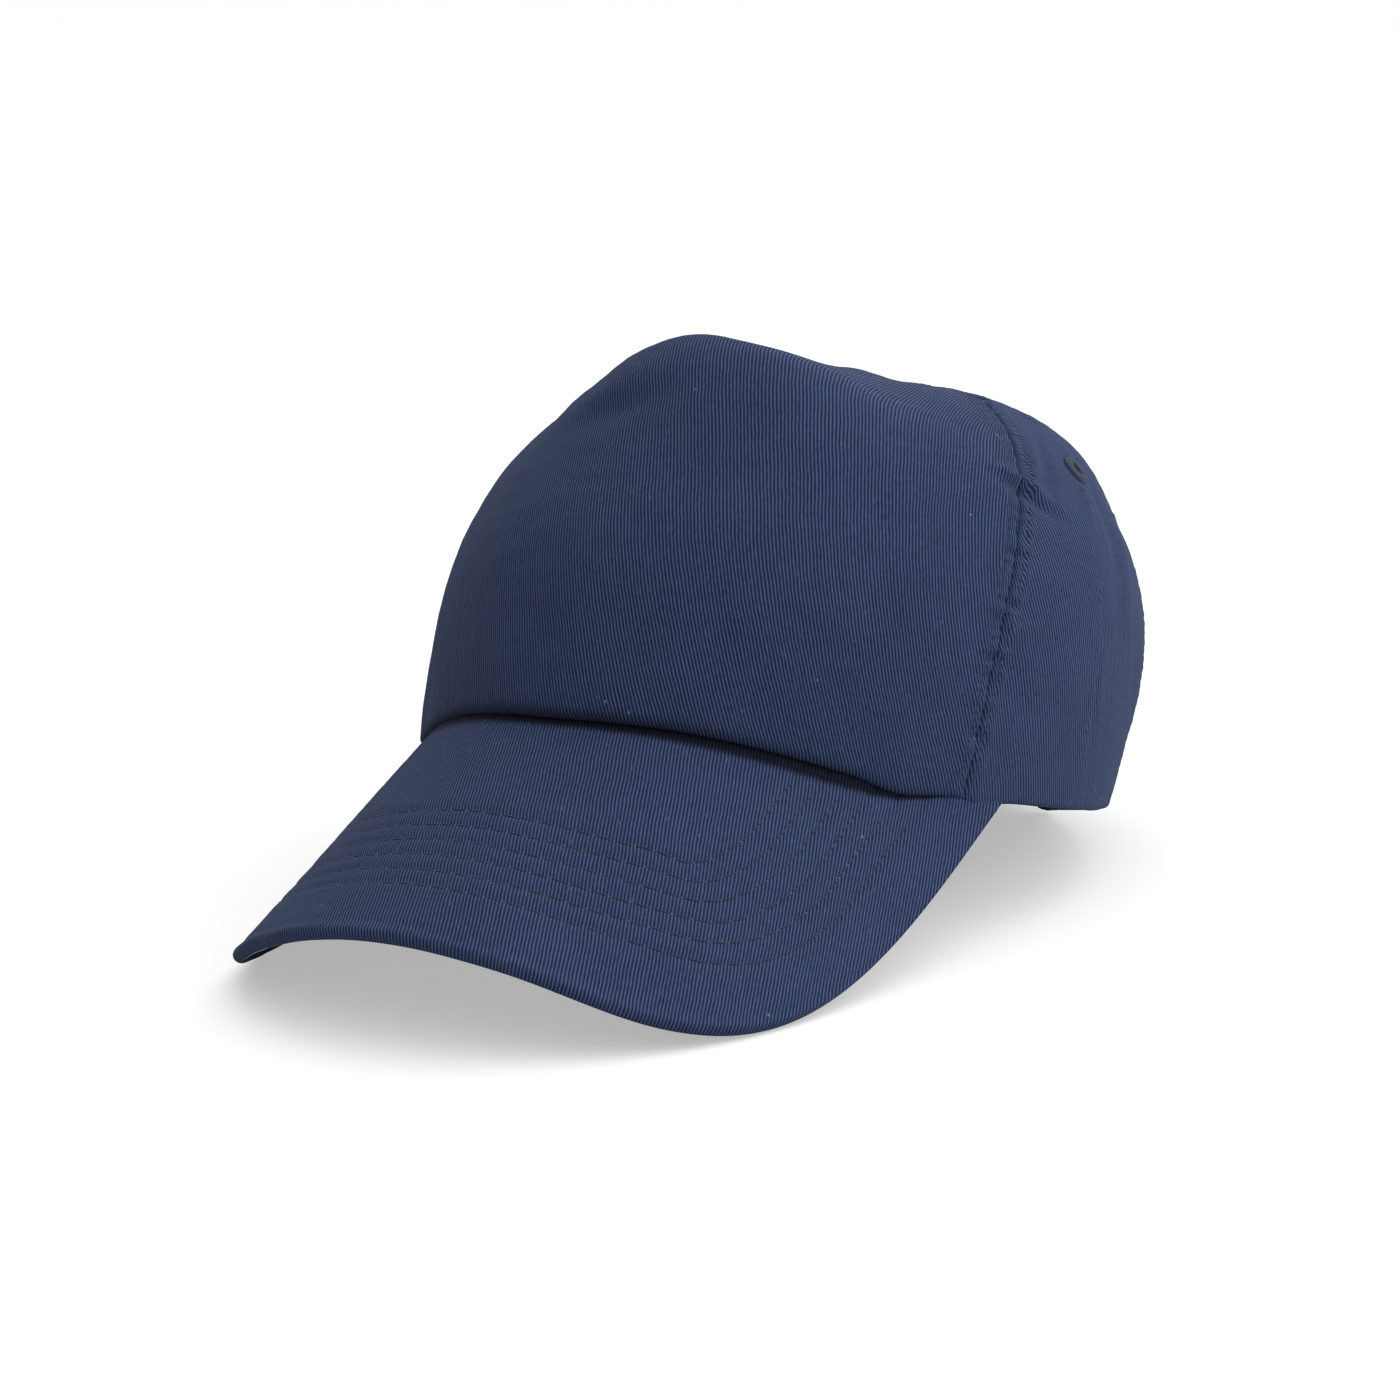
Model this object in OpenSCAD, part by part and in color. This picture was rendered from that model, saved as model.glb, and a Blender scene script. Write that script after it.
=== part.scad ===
// Five-panel cotton twill baseball cap, lying in its resting pose: the two low
// side tips of the curved visor and the back hem touch the floor plane.
// Millimetres and degrees, +Z up, visor towards -Y, wearer's left towards +X,
// origin on the floor under the middle of the cap. Cloth parts are closed
// sheets with real thickness and a small clearance to their neighbours.

/* [Crown] */
// outside length of the head opening, front to back
crown_length = 197.2; // [180:0.2:215]
// outside width of the head opening
crown_width = 178.4; // [160:0.2:195]
// height of the crown over the plane of its hem
crown_height = 108.3; // [95:0.1:120]
// squareness of the head opening outline (2 is an ellipse)
outline_power = 1.83; // [1.6:0.01:2.4]
// how far behind the middle the button sits
button_y = 23.9; // [0:0.1:30]
// height of the stiff ridge over the front panel
ridge_height = 29.7; // [0:0.1:35]
// front to back place of that ridge
ridge_y = -63.8; // [-80:0.1:-40]
// front to back spread of that ridge
ridge_spread = 24.3; // [15:0.1:45]
// nose-up lean of the crown when it rests on its visor tips
rest_pitch = 18.9; // [8:0.1:25]
// angle of the front seams from straight ahead, at the hem
front_seam = 64; // [55:0.5:72]
// angle of the rear seams from straight ahead, at the hem
rear_seam = 119; // [105:0.5:130]
// thickness of one cloth panel
panel_thick = 1.2; // [0.6:0.1:2]
// height along the hem of the inner sweatband, as a share of the crown
sweatband_share = 0.19; // [0.12:0.01:0.3]

/* [Visor] */
// reach of the visor in front of the crown, level with the hem plane
visor_reach = 62.7; // [50:0.1:75]
// half width of the visor where it dives under the crown
visor_half = 84.5; // [75:0.5:95]
// slope of the visor down from the hem plane
visor_slope = 43; // [25:0.5:48]
// curvature of the visor from side to side
visor_sag = 0.006; // [0.002:0.0001:0.009]
// extra curl towards the visor sides
visor_curl = 0.18; // [0:0.01:0.4]
// thickness of the stiff board inside the visor
board_thick = 1.8; // [1.2:0.1:3]
// thickness of each visor cover
cover_thick = 0.75; // [0.4:0.05:1.2]
// number of stitched rows round the visor
stitch_rows = 6; // [3:1:8]
// distance from the visor edge to the first stitched row
stitch_first = 20; // [6:0.5:24]
// distance between the stitched rows
stitch_step = 5.7; // [4:0.1:9]

/* [Back adjuster] */
// half angle of the arched back opening
arch_half = 26; // [20:0.5:32]
// height of that arch as a share of the crown
arch_share = 0.28; // [0.2:0.01:0.36]
// angle each strap reaches past the centre of the back
strap_past = 14; // [6:0.5:20]
// thickness of a strap
strap_thick = 1.0; // [0.6:0.1:2]

/* [Button and eyelets] */
// diameter of the cloth covered button on the crown
button_d = 14.4; // [11:0.1:18]
// outside diameter of a sewn eyelet
eyelet_d = 8.4; // [6:0.1:10]
// clear diameter of a sewn eyelet
eyelet_hole_d = 3.2; // [2:0.1:4]

/* [Hidden] */

navy = [0.115, 0.145, 0.235];
dark = [0.07, 0.09, 0.16];
clearance = 0.1;
half_length = crown_length / 2;
half_width = crown_width / 2;

// ---------- helpers ----------
function signed_pow(v, power) = v < 0 ? -pow(-v, power) : pow(v, power);
// smooth step from 0 to 1
function ease(v) = let (c = min(1, max(0, v))) c * c * (3 - 2 * c);
function bell(v, spread) = exp(-pow(v / spread, 2));
function mix(from, to, share) = from + (to - from) * share;
function unit(v) = v / max(1e-9, norm(v));
function sum(v, i = 0) = i < len(v) ? v[i] + sum(v, i + 1) : 0;

// the crown's own frame leaned back into the resting pose
function leaned(p) = let (y = p[1] - half_length, c = cos(rest_pitch), s = sin(rest_pitch))
  [p[0], y * c + p[2] * s, -y * s + p[2] * c];
function rested_points(grid) =
  [for (line = grid) for (p = line) leaned(p) - [0, middle_y, floor_z]];
module resting() {
  translate([0, -middle_y, -floor_z]) rotate([-rest_pitch, 0, 0])
    translate([0, -half_length, 0]) children();
}

function quad(p, q, r, s) = [[p, q, r], [p, r, s]];

// Closed sheet between two matching grids of columns. The first grid faces the
// cross product of its column and row directions. hole = [column, row] of a cell
// left open.
module sheet(first, second, hole = [-1, -1]) {
  n = len(first) - 1;
  m = len(first[0]) - 1;
  total = (n + 1) * (m + 1);
  col = hole[0];
  row = hole[1];
  function at(i, j) = i * (m + 1) + j;
  // wall joining the two grids between points p and q
  function wall(p, q) = quad(p, q, q + total, p + total);
  polyhedron(
    points = concat(rested_points(first), rested_points(second)),
    faces = concat(
      [for (i = [0:n - 1]) for (j = [0:m - 1]) if (i != col || j != row)
        let (p = at(i, j), q = at(i + 1, j), r = at(i + 1, j + 1), s = at(i, j + 1))
        each concat(quad(p, s, r, q), quad(p + total, q + total, r + total, s + total))],
      [for (i = [0:n - 1])
        each concat(wall(at(i, 0), at(i + 1, 0)), wall(at(i + 1, m), at(i, m)))],
      [for (j = [0:m - 1])
        each concat(wall(at(0, j + 1), at(0, j)), wall(at(n, j), at(n, j + 1)))],
      col < 0 ? [] : concat(
        wall(at(col + 1, row), at(col, row)),
        wall(at(col, row + 1), at(col + 1, row + 1)),
        wall(at(col, row), at(col, row + 1)),
        wall(at(col + 1, row + 1), at(col + 1, row)))),
    convexity = 8);
}

// Bar through a line of matching loops of points; ends lists the triangles that
// close a loop.
module bar(loops, ends) {
  n = len(loops) - 1;
  m = len(loops[0]);
  function at(i, j) = i * m + (j % m);
  polyhedron(
    points = rested_points(loops),
    faces = concat(
      [for (i = [0:n - 1]) for (j = [0:m - 1])
        each quad(at(i, j), at(i, j + 1), at(i + 1, j + 1), at(i + 1, j))],
      [for (e = ends) [at(0, e[2]), at(0, e[1]), at(0, e[0])]],
      [for (e = ends) [at(n, e[0]), at(n, e[1]), at(n, e[2])]]),
    convexity = 6);
}

// ---------- crown shape ----------
// A place on the crown is [angle, rise]: angle round the head from straight
// ahead, positive to the left; rise from 0 at the hem to 1 at the button.
hem_lift = 2.69; // at the back
hem_dip = 1.77; // just behind the front seams
front_seam_top = 81;
rear_seam_top = 128;
panel_top = 0.985; // rise where the panels end
ridge_side_spread = 60;
// [front, side, back] values of the crown profile
inward_powers = [0.945, 0.667, 1.073];
upward_powers = [0.870, 0.728, 0.950];
bulges = [2.45, 5.63, 19.7];
visor_rise = 2.66; // visor height at the front of the hem

function visor_droop(x) = visor_sag * x * x + visor_curl * 1e-6 * pow(x, 4);
// height of the visor before its root is fitted to the hem
function visor_free(x, y) = visor_rise + tan(visor_slope) * (y + half_length)
  - visor_droop(x) / cos(visor_slope);

// outline of the head opening
function rim(angle) = [half_width * signed_pow(sin(angle), 2 / outline_power),
  -half_length * signed_pow(cos(angle), 2 / outline_power)];
// height of the hem: it follows the visor in front and lifts at the back
function hem(angle) = let (o = rim(angle), past = abs(angle) - front_seam)
  visor_free(o[0], o[1]) * (1 - ease((past + 14) / 18))
  + hem_lift * ease(past / (150 - front_seam)) - hem_dip * bell(past - 8, 22);

// outside face of the crown
function crown(angle, rise) = let (
    o = rim(angle),
    base = hem(angle),
    front = pow(max(0, cos(angle)), 2),
    back = pow(max(0, -cos(angle)), 2),
    weights = [front, 1 - front - back, back],
    level = pow(max(0, cos(90 * rise)), inward_powers * weights),
    upright = pow(max(0, sin(90 * rise)), upward_powers * weights),
    bulge = bulges * weights * (1 - 0.5 * bell(180 - abs(angle), 28))
      * sin(180 * pow(max(0, rise), 0.8)),
    out = unit([o[0] / pow(half_width, 2), o[1] / pow(half_length, 2)]),
    x = o[0] * level + bulge * out[0],
    y = button_y + (o[1] - button_y) * level + bulge * out[1],
    z = base + (crown_height - base) * upright)
  [x, y, z + ridge_height * bell(x, ridge_side_spread) * bell(y - ridge_y, ridge_spread)
    * ease((z - 60) / 50)];
function crown_normal(angle, rise) = let (h = 0.012, r = min(panel_top, max(h, rise)))
  unit(cross(crown(angle + 1, r) - crown(angle - 1, r),
    crown(angle, r + h) - crown(angle, r - h)));
// point at a depth under the outside face
function under(angle, rise, depth) = crown(angle, rise) - depth * crown_normal(angle, rise);
// angle that spans a width across the crown
function span(angle, rise, width) =
  width / max(1, norm(crown(angle + 0.5, rise) - crown(angle - 0.5, rise)));

function front_seam_at(rise) = mix(front_seam, front_seam_top, rise) - 0.65 * sin(180 * rise);
function rear_seam_at(rise) = mix(rear_seam, rear_seam_top, rise);
// rise of the arched opening's edge
function arch(angle) = let (q = (180 - abs(angle)) / arch_half)
  q < 1 ? arch_share * pow(1 - pow(q, 2.4), 0.5) : 0;

// sheet between two depths; columns are lists of [angle, rise]
module cloth(columns, depth, thick, hole = [-1, -1]) {
  function face(d) = [for (c = columns) [for (q = c) under(q[0], q[1], d)]];
  sheet(face(depth), face(depth + thick), hole);
}
// side = 1 is the wearer's left, -1 the right
function sided(columns, side) = side > 0 ? columns
  : [for (i = [len(columns) - 1:-1:0]) [for (q = columns[i]) [-q[0], q[1]]]];

// ---------- crown panels ----------
seam_gap = 0.06; // angle between a panel edge and its seam
eyelet_rise = 0.52;
side_eyelet = 92;
back_eyelet = 148;
// half height and half angle of the open cell round an eyelet
cell_rise = 0.022;
cell_angle = 2.05;
eyelet_row = 8;
// rows of the panel grids, with a close pair at the eyelets
rises = let (low = eyelet_rise - cell_rise, high = eyelet_rise + cell_rise) concat(
  [for (k = [0:eyelet_row]) low * k / eyelet_row],
  [for (k = [0:9]) high + (panel_top - high) * (1 - pow(1 - k / 9, 1.15))]);

function side_angles(rise) = concat(
  [for (i = [0:4]) mix(front_seam_at(rise) + seam_gap, side_eyelet - cell_angle, i / 4)],
  [for (i = [0:4]) mix(side_eyelet + cell_angle, rear_seam_at(rise) - seam_gap, i / 4)]);
function back_angles(rise) = concat(
  [for (i = [0:3]) mix(rear_seam_at(rise) + seam_gap, back_eyelet - cell_angle, i / 3)],
  [back_eyelet + cell_angle, 180 - arch_half],
  [for (k = [1:8]) 180 - max(seam_gap, arch_half * cos(90 * k / 8))]);
// the rows squeezed up to clear the arch
function over_arch(angle, rise) = mix(arch(angle), panel_top, rise / panel_top);

// panel with an eyelet hole after the given left side column
module pierced_panel(columns, side, column) {
  hole_column = side > 0 ? column : len(columns) - 2 - column;
  cloth(sided(columns, side), 0, panel_thick, [hole_column, eyelet_row]);
}
module side_panel(side) {
  pierced_panel([for (i = [0:9]) [for (r = rises) [side_angles(r)[i], r]]], side, 4);
}
module back_panel(side) {
  pierced_panel([for (i = [0:13]) [for (r = rises)
    let (angle = back_angles(r)[i]) [angle, over_arch(angle, r)]]], side, 3);
}
module front_panel() {
  color(navy) cloth([for (i = [0:24]) [for (r = rises)
    let (edge = front_seam_at(r) - seam_gap) [mix(-edge, edge, i / 24), r]]], 0, panel_thick);
}
module left_side_panel() { color(navy) side_panel(1); }
module right_side_panel() { color(navy) side_panel(-1); }
module left_back_panel() { color(navy) back_panel(1); }
module right_back_panel() { color(navy) back_panel(-1); }

// ---------- inside of the crown ----------
backing_thick = 0.6; // of the lining and the tapes
lining_depth = panel_thick + 0.5;
tape_depth = panel_thick + 0.45;
front_tape_width = 9;
rear_tape_width = 12;

// stiffened backing behind the front panel
module front_lining() {
  color([0.80, 0.80, 0.78]) cloth([for (i = [0:22]) [for (r = rises) if (r > 0.02 && r < 0.94)
    let (edge = front_seam_at(r) - 5 - 4 * r / (1.05 - r)) [mix(-edge, edge, i / 22), r]]],
    lining_depth, backing_thick);
}
module seam_tape(side, width, rear) {
  cloth(sided([for (i = [-1:1]) [for (r = rises) if (r > 0.01 && r < 0.92)
    let (seam = rear ? rear_seam_at(r) : front_seam_at(r))
    [seam + i * span(seam, r, width / 2), r]]], side), tape_depth, backing_thick);
}
module left_front_seam_tape() { color(dark) seam_tape(1, front_tape_width, rear = false); }
module right_front_seam_tape() { color(dark) seam_tape(-1, front_tape_width, rear = false); }
module left_rear_seam_tape() { color(dark) seam_tape(1, rear_tape_width, rear = true); }
module right_rear_seam_tape() { color(dark) seam_tape(-1, rear_tape_width, rear = true); }
module centre_back_seam_tape() {
  color(dark) cloth([for (i = [-1:1]) [for (j = [0:12])
    let (r = mix(arch_share + 0.075, 0.88, j / 12))
    [180 + i * span(180, r, rear_tape_width / 2), r]]], tape_depth, backing_thick);
}

// the band drops a little in front, behind the visor seam
module sweatband() {
  depth = 3.2;
  thick = 0.9;
  end = 180 - arch_half - 2.5;
  lowest = 0.004;
  // -1 stands for the dropped lower edge
  rows = [-1, lowest, 0.05, 0.10, 0.145, sweatband_share];
  function drop(angle) = 2.6 * (1 - ease((abs(angle) - 44) / 16)) + 0.1;
  function face(d) = [for (i = [0:56]) let (angle = mix(-end, end, i / 56))
    [for (r = rows) under(angle, max(lowest, r), d) - [0, 0, r < 0 ? drop(angle) : 0]]];
  color([0.09, 0.115, 0.20]) sheet(face(depth), face(depth + thick));
}

// folded binding round the edge of the back opening
module back_arch_binding() {
  last = 16;
  // U section: [out from the crown face, up from the arch edge]
  inner_leg = -panel_thick - 0.8;
  section = [
    [0.55, 4.0], [0.55, -0.35], [inner_leg, -0.35], [inner_leg, 4.0],
    [inner_leg - 0.5, 4.0], [inner_leg - 0.5, -0.95], [1.1, -0.95], [1.1, 4.0]];
  section_ends = [[0, 1, 6], [0, 6, 7], [1, 2, 5], [1, 5, 6], [2, 3, 4], [2, 4, 5]];
  function place(k) = let (q = arch_half * sin(90 * k / last)) [180 - q, arch(180 - abs(q))];
  function edge(k) = let (q = place(k)) crown(q[0], max(0.014, q[1]));
  loops = [for (k = [-last:2:last]) let (
      q = place(k),
      out = crown_normal(q[0], max(0.01, q[1])),
      along = unit(edge(min(last, k + 0.6)) - edge(max(-last, k - 0.6))),
      up = unit(cross(along, out)))
    [for (s = section) edge(k) + s[0] * out + s[1] * up]];
  color(navy) bar(loops, section_ends);
}

// blank label inside the back, hanging from its top edge towards the arch
module size_label() {
  bottom = arch_share + 0.125;
  top = bottom + 0.20;
  depth = 2.9;
  half = 14;
  row_step = 5.5;
  row_sway = 0.35; // inwards for each row down
  hang = under(180, top, depth);
  out = crown_normal(180, top);
  down = unit(under(180, bottom, depth) - hang);
  function face(d) = [for (i = [1, 0, -1]) [for (j = [4:-1:0])
    hang + [i * half, 0, 0] + down * (j * row_step) - out * (d + row_sway * j)]];
  color([0.86, 0.86, 0.84]) sheet(face(0), face(0.45));
}

// ---------- visor shape ----------
// A place on the visor is [sweep, reach]: sweep from -90 to 90 across it, reach
// from 0 at the crown to 1 at the edge.
visor_end_y = -31.7; // where the edge meets the visor sides
edge_side_power = 2.035;
edge_front_power = 3.25;
board_gap = 0.15; // between the board and each cover
visor_thick = 2 * (cover_thick + board_gap) + board_thick;
edge_radius = visor_thick / 2;
root_angle = asin(pow(visor_half / half_width, outline_power / 2));
sweeps = [for (i = [-15:15]) 90 * sin(90 * i / 15) * 0.35 + 6 * i * 0.65];

function visor_edge_y(x) = visor_end_y - (half_length + visor_reach + visor_end_y)
  * pow(max(0, 1 - pow(abs(x / visor_half), edge_side_power)), 1 / edge_front_power);
// [x, y, step from the free visor height to just under the hem]
function visor_root(sweep) = let (angle = sweep * root_angle / 90, o = rim(angle))
  [o[0], o[1], hem(angle) - clearance - visor_free(o[0], o[1])];
// top face of the visor
function visor(sweep, reach) = let (
    root = visor_root(sweep),
    edge_x = visor_half * sin(sweep),
    x = mix(root[0], edge_x, reach),
    y = mix(root[1], visor_edge_y(edge_x), reach))
  [x, y, visor_free(x, y) + root[2] * bell(norm([x - root[0], y - root[1]]), 9)];
function visor_normal(sweep, reach) = let (
    h = 0.02,
    s = max(-88.5, min(88.5, sweep)),
    r = max(h, min(1 - h, reach)))
  unit(cross(visor(s + 1.5, r) - visor(s - 1.5, r), visor(s, r - h) - visor(s, r + h)));
// the visor thins to half at its side tips
function thinning(sweep) = mix(1, 0.5, ease((abs(sweep) - 68) / 22));
// point at a depth under the top face
function visor_point(sweep, reach, depth) =
  visor(sweep, reach) - depth * thinning(sweep) * visor_normal(sweep, reach);
// reach at a distance in from the edge
function in_from_edge(sweep, inset) =
  1 - inset / max(8, norm(visor(sweep, 1) - visor(sweep, 0)));
// how far a rounded edge has fallen away at an inset from its end
function rounding(inset, radius) =
  radius - sqrt(max(0, radius * radius - pow(max(0, radius - inset), 2)));

// ---------- visor pieces ----------
// one face of a cover, out to the rolled edge
function cover_face(top, inner) = let (
    reaches = [0, 0.12, 0.28, 0.45, 0.62, 0.78, 0.90],
    insets = [1.6, 1.0, 0.5, 0.18, 0.02],
    inner_inset = 0.78, // where the inner face begins to round
    inner_radius = 0.9,
    deepest = edge_radius - 0.06)
  [for (u = sweeps) [for (p = concat(
      [for (r = reaches) [r * in_from_edge(u, 3), inner ? cover_thick : 0]],
      [for (s = insets) let (
          outer = rounding(s, edge_radius),
          inside = s > inner_inset
            ? cover_thick + rounding(s - inner_inset, inner_radius) : deepest)
        [in_from_edge(u, s), inner ? max(outer + 0.02, min(deepest, inside)) : outer]]))
    visor_point(u, p[0], top ? p[1] : visor_thick - p[1])]];
module visor_top_cover() { color(navy) sheet(cover_face(true, true), cover_face(true, false)); }
module visor_under_cover() {
  color(navy) sheet(cover_face(false, false), cover_face(false, true));
}
module visor_board() {
  reaches = [0.02, 0.2, 0.4, 0.6, 0.8, 1];
  bevel = 0.45;
  top = cover_thick + board_gap;
  function face(depth, edge_depth) = [for (u = sweeps) if (abs(u) < 86) concat(
    [for (r = reaches) visor_point(u, r * in_from_edge(u, 4.2), depth)],
    [visor_point(u, in_from_edge(u, 1.9), edge_depth)])];
  color([0.9, 0.9, 0.88])
    sheet(face(visor_thick - top, visor_thick - top - bevel), face(top, top + bevel));
}

// ---------- sewing thread ----------
thread_half = 0.3;
thread_height = 0.3;
row_end = 80; // sweep past which a stitched row runs straight

// side slope of the visor sheet
function droop_slope(x) = 2 * visor_sag * x + 4e-6 * visor_curl * pow(x, 3);
// length across the curved sheet from its middle to x
function length_across(x) = let (n = 10)
  sum([for (k = [0:n - 1]) let (c = droop_slope(x * (k + 0.5) / n)) sqrt(1 + c * c) * x / n]);
// [length across the sheet, x]
across_to_x = [for (x = [-90:3:90]) [length_across(x), x]];
// visor edge on the rolled-out sheet: [across, along]
function flat_edge(sweep) = let (x = visor_half * sin(sweep), y = visor_edge_y(x))
  [length_across(x), y * cos(visor_slope) + visor_free(x, y) * sin(visor_slope)];
// from the rolled-out sheet back to the top face
function rolled(p) = let (
    x = lookup(p[0], across_to_x),
    c = cos(visor_slope),
    s = sin(visor_slope),
    h = visor_rise * c + half_length * s - visor_droop(x))
  [x, p[1] * c - h * s, p[1] * s + h * c];
// past row_end the rows carry straight on, back to the crown; they run nearer
// the edge at the sides
function row_point(sweep, inset) = let (
    v = max(-row_end, min(row_end, sweep)),
    start = flat_edge(v) + [0, 1.6 * max(0, abs(sweep) - row_end)],
    along = flat_edge(v + 0.5) - flat_edge(v - 0.5),
    inward = unit([-along[1], along[0]]))
  rolled(start + (inset - 6 * ease((abs(sweep) - 38) / 45)) * inward);
// how far a point lies outside the head opening, 0 on its outline
function outside_rim(p) = pow(abs(p[0] / half_width), outline_power)
  + pow(abs(p[1] / half_length), outline_power) - 1;
function row_line(inset) = [for (u = [-124:4:124]) let (p = row_point(u, inset))
  if (outside_rim(p) > 0.04 && p[1] < -14) p];

// three-sided thread along a path, lifted off the cloth
module thread(path, normals, lift) {
  n = len(path) - 1;
  bar([for (i = [0:n]) let (
      along = unit(path[min(n, i + 1)] - path[max(0, i - 1)]),
      side = unit(cross(along, normals[i])) * thread_half,
      foot = path[i] + normals[i] * lift)
    [foot + normals[i] * thread_height, foot + side, foot - side]], [[0, 1, 2]]);
}
module visor_stitching() {
  color([0.16, 0.20, 0.32]) for (row = [0:stitch_rows - 1]) {
    path = row_line(stitch_first + row * stitch_step);
    normals = [for (p = path) unit([droop_slope(p[0]), -sin(visor_slope), cos(visor_slope)])];
    thread(path, normals, lift = 0.25);
  }
}
// a row on each side of a front seam
module seam_stitching(side) {
  for (e = [-1, 1]) {
    places = [for (k = [0:16]) let (
        r = 0.03 + 0.92 * k / 16,
        seam = front_seam_at(r))
      [side * (seam + e * span(seam, r, 3.0 - 1.2 * (1 - r))), r]];
    thread([for (q = places) crown(q[0], q[1])],
      [for (q = places) crown_normal(q[0], q[1])], lift = 0.3);
  }
}
module left_front_seam_stitching() { color(dark) seam_stitching(1); }
module right_front_seam_stitching() { color(dark) seam_stitching(-1); }

// ---------- button ----------
button_r = button_d / 2;
button_height = 4.2;
button_base = 0.3; // height of the button's widest level
button_cloth = 0.9;
shell_inset = button_cloth + clearance;
shell_thick = 0.6;
above = 5; // tall enough to pass the button's top

module at_button() { resting() translate([0, button_y, crown_height]) children(); }
module button_oval(inset, sides = 48) {
  scale([button_r - inset, button_height - inset]) circle(r = 1, $fn = sides);
}
module button_cover() {
  color(navy) at_button() rotate_extrude($fn = 48) difference() {
    union() {
      translate([0, button_base]) intersection() {
        button_oval(0, sides = 64);
        square([button_r, above]);
      }
      translate([0, 0.15]) square([button_r - 0.4, 0.6]);
    }
    intersection() {
      translate([0, button_base]) button_oval(button_cloth);
      translate([-1, 0.9]) square([button_r, above]);
    }
    // way through for the rivet
    translate([-1, -1]) square([2.45, 2.2]);
  }
}
module button_shell() {
  color([0.70, 0.70, 0.68]) at_button() rotate_extrude($fn = 48) difference() {
    intersection() {
      translate([0, button_base]) button_oval(shell_inset);
      translate([0, 1.0]) square([button_r, above]);
    }
    intersection() {
      translate([0, button_base]) button_oval(shell_inset + shell_thick);
      translate([-1, 0]) square([button_r, above]);
    }
  }
}
module button_rivet() {
  bottom = -3.0;
  color([0.72, 0.62, 0.38]) at_button() {
    translate([0, 0, bottom]) cylinder(r = 1.0, h = 5.7, $fn = 32);
    translate([0, 0, bottom]) cylinder(r = 4.6, h = 0.6, $fn = 48);
  }
}

// ---------- eyelets ----------
// sewn ring through the cloth, with a flange on each face
module eyelet(angle) {
  p = crown(angle, eyelet_rise);
  out = crown_normal(angle, eyelet_rise);
  x = unit(cross([0, 0, 1], out));
  y = cross(out, x);
  hole_r = eyelet_hole_d / 2;
  outer_r = eyelet_d / 2;
  neck_r = hole_r + 0.45;
  lift = 0.28; // of each flange off the cloth
  top = 0.75;
  bottom = -panel_thick - 0.65;
  resting()
    multmatrix([
      [x[0], y[0], out[0], p[0]],
      [x[1], y[1], out[1], p[1]],
      [x[2], y[2], out[2], p[2]],
      [0, 0, 0, 1]])
    rotate_extrude($fn = 40) polygon([
      [hole_r, top], [hole_r, bottom], [outer_r, bottom], [outer_r, -panel_thick - lift],
      [neck_r, -panel_thick - lift], [neck_r, lift], [outer_r, lift], [outer_r - 0.6, top]]);
}
module left_side_eyelet() { color(dark) eyelet(side_eyelet); }
module right_side_eyelet() { color(dark) eyelet(-side_eyelet); }
module left_back_eyelet() { color(dark) eyelet(back_eyelet); }
module right_back_eyelet() { color(dark) eyelet(-back_eyelet); }

// ---------- back adjuster ----------
// rise of the lower and upper strap edges
strap_low = 0.02;
strap_high = 0.13;
patch_margin = 0.06; // share of the strap height
patch_end = 0.6; // angle from a strap's free end
hook_thick = 0.9;
loop_thick = 0.85;
// depths of the stack, from the outside in
outer_depth = 0.2;
hook_depth = outer_depth + strap_thick + 0.1;
loop_depth = hook_depth + hook_thick + 0.15;
inner_depth = loop_depth + loop_thick + 0.1;

// the straps follow the hem line across the open arch
function strap_point(angle, height, depth) =
  mix(under(angle, strap_low, depth), under(angle, strap_high, depth), height);
// rooted ends (1) lean in with the side of the arch, free ends (0) are straight
module strap(from, to, depth, thick, steps, from_root = 0, to_root = 0, margin = 0) {
  function lean(height) = mix(1.5, 3.9, height);
  function face(d) = [for (i = [0:steps]) [for (h = [margin, 0.5, 1 - margin])
    strap_point(mix(from + from_root * lean(h), to - to_root * lean(h), i / steps), h, d)]];
  sheet(face(depth), face(depth + thick));
}
module outer_strap() {
  color(navy) strap(180 - arch_half, 180 + strap_past, outer_depth, strap_thick,
    steps = 16, from_root = 1);
}
module hook_patch() {
  color([0.05, 0.06, 0.09]) strap(181, 180 + strap_past - patch_end, hook_depth, hook_thick,
    steps = 6, margin = patch_margin);
}
module loop_patch() {
  color([0.06, 0.075, 0.13]) strap(180 - strap_past + patch_end, 197, loop_depth, loop_thick,
    steps = 14, margin = patch_margin);
}
module inner_strap() {
  color(navy) strap(180 - strap_past, 180 + arch_half, inner_depth, strap_thick,
    steps = 16, to_root = 1);
}

// ---------- resting place ----------
// worked out last, as it needs every value above
front_y = leaned([0, visor_edge_y(0), visor_free(0, visor_edge_y(0))])[1];
back_y = max([for (r = [0:0.02:0.6]) leaned(crown(180, r))[1]]);
middle_y = (front_y + back_y) / 2 + 0.6;
// the floor touches the lower of the visor tips and the back hem
tip_z = min([for (u = [40:1:88]) for (s = [0.5, 1.6])
  leaned(visor_point(u, in_from_edge(u, s), visor_thick - rounding(s, edge_radius)))[2]]);
back_z = min([for (angle = [155:1:180]) leaned(strap_point(angle, 0, outer_depth))[2]]);
floor_z = min(tip_z, back_z);

front_panel();
left_side_panel();
right_side_panel();
left_back_panel();
right_back_panel();
front_lining();
sweatband();
left_front_seam_tape();
right_front_seam_tape();
left_rear_seam_tape();
right_rear_seam_tape();
centre_back_seam_tape();
back_arch_binding();
visor_board();
visor_top_cover();
visor_under_cover();
visor_stitching();
left_front_seam_stitching();
right_front_seam_stitching();
button_cover();
button_shell();
button_rivet();
left_side_eyelet();
right_side_eyelet();
left_back_eyelet();
right_back_eyelet();
outer_strap();
inner_strap();
hook_patch();
loop_patch();
size_label();
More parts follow.
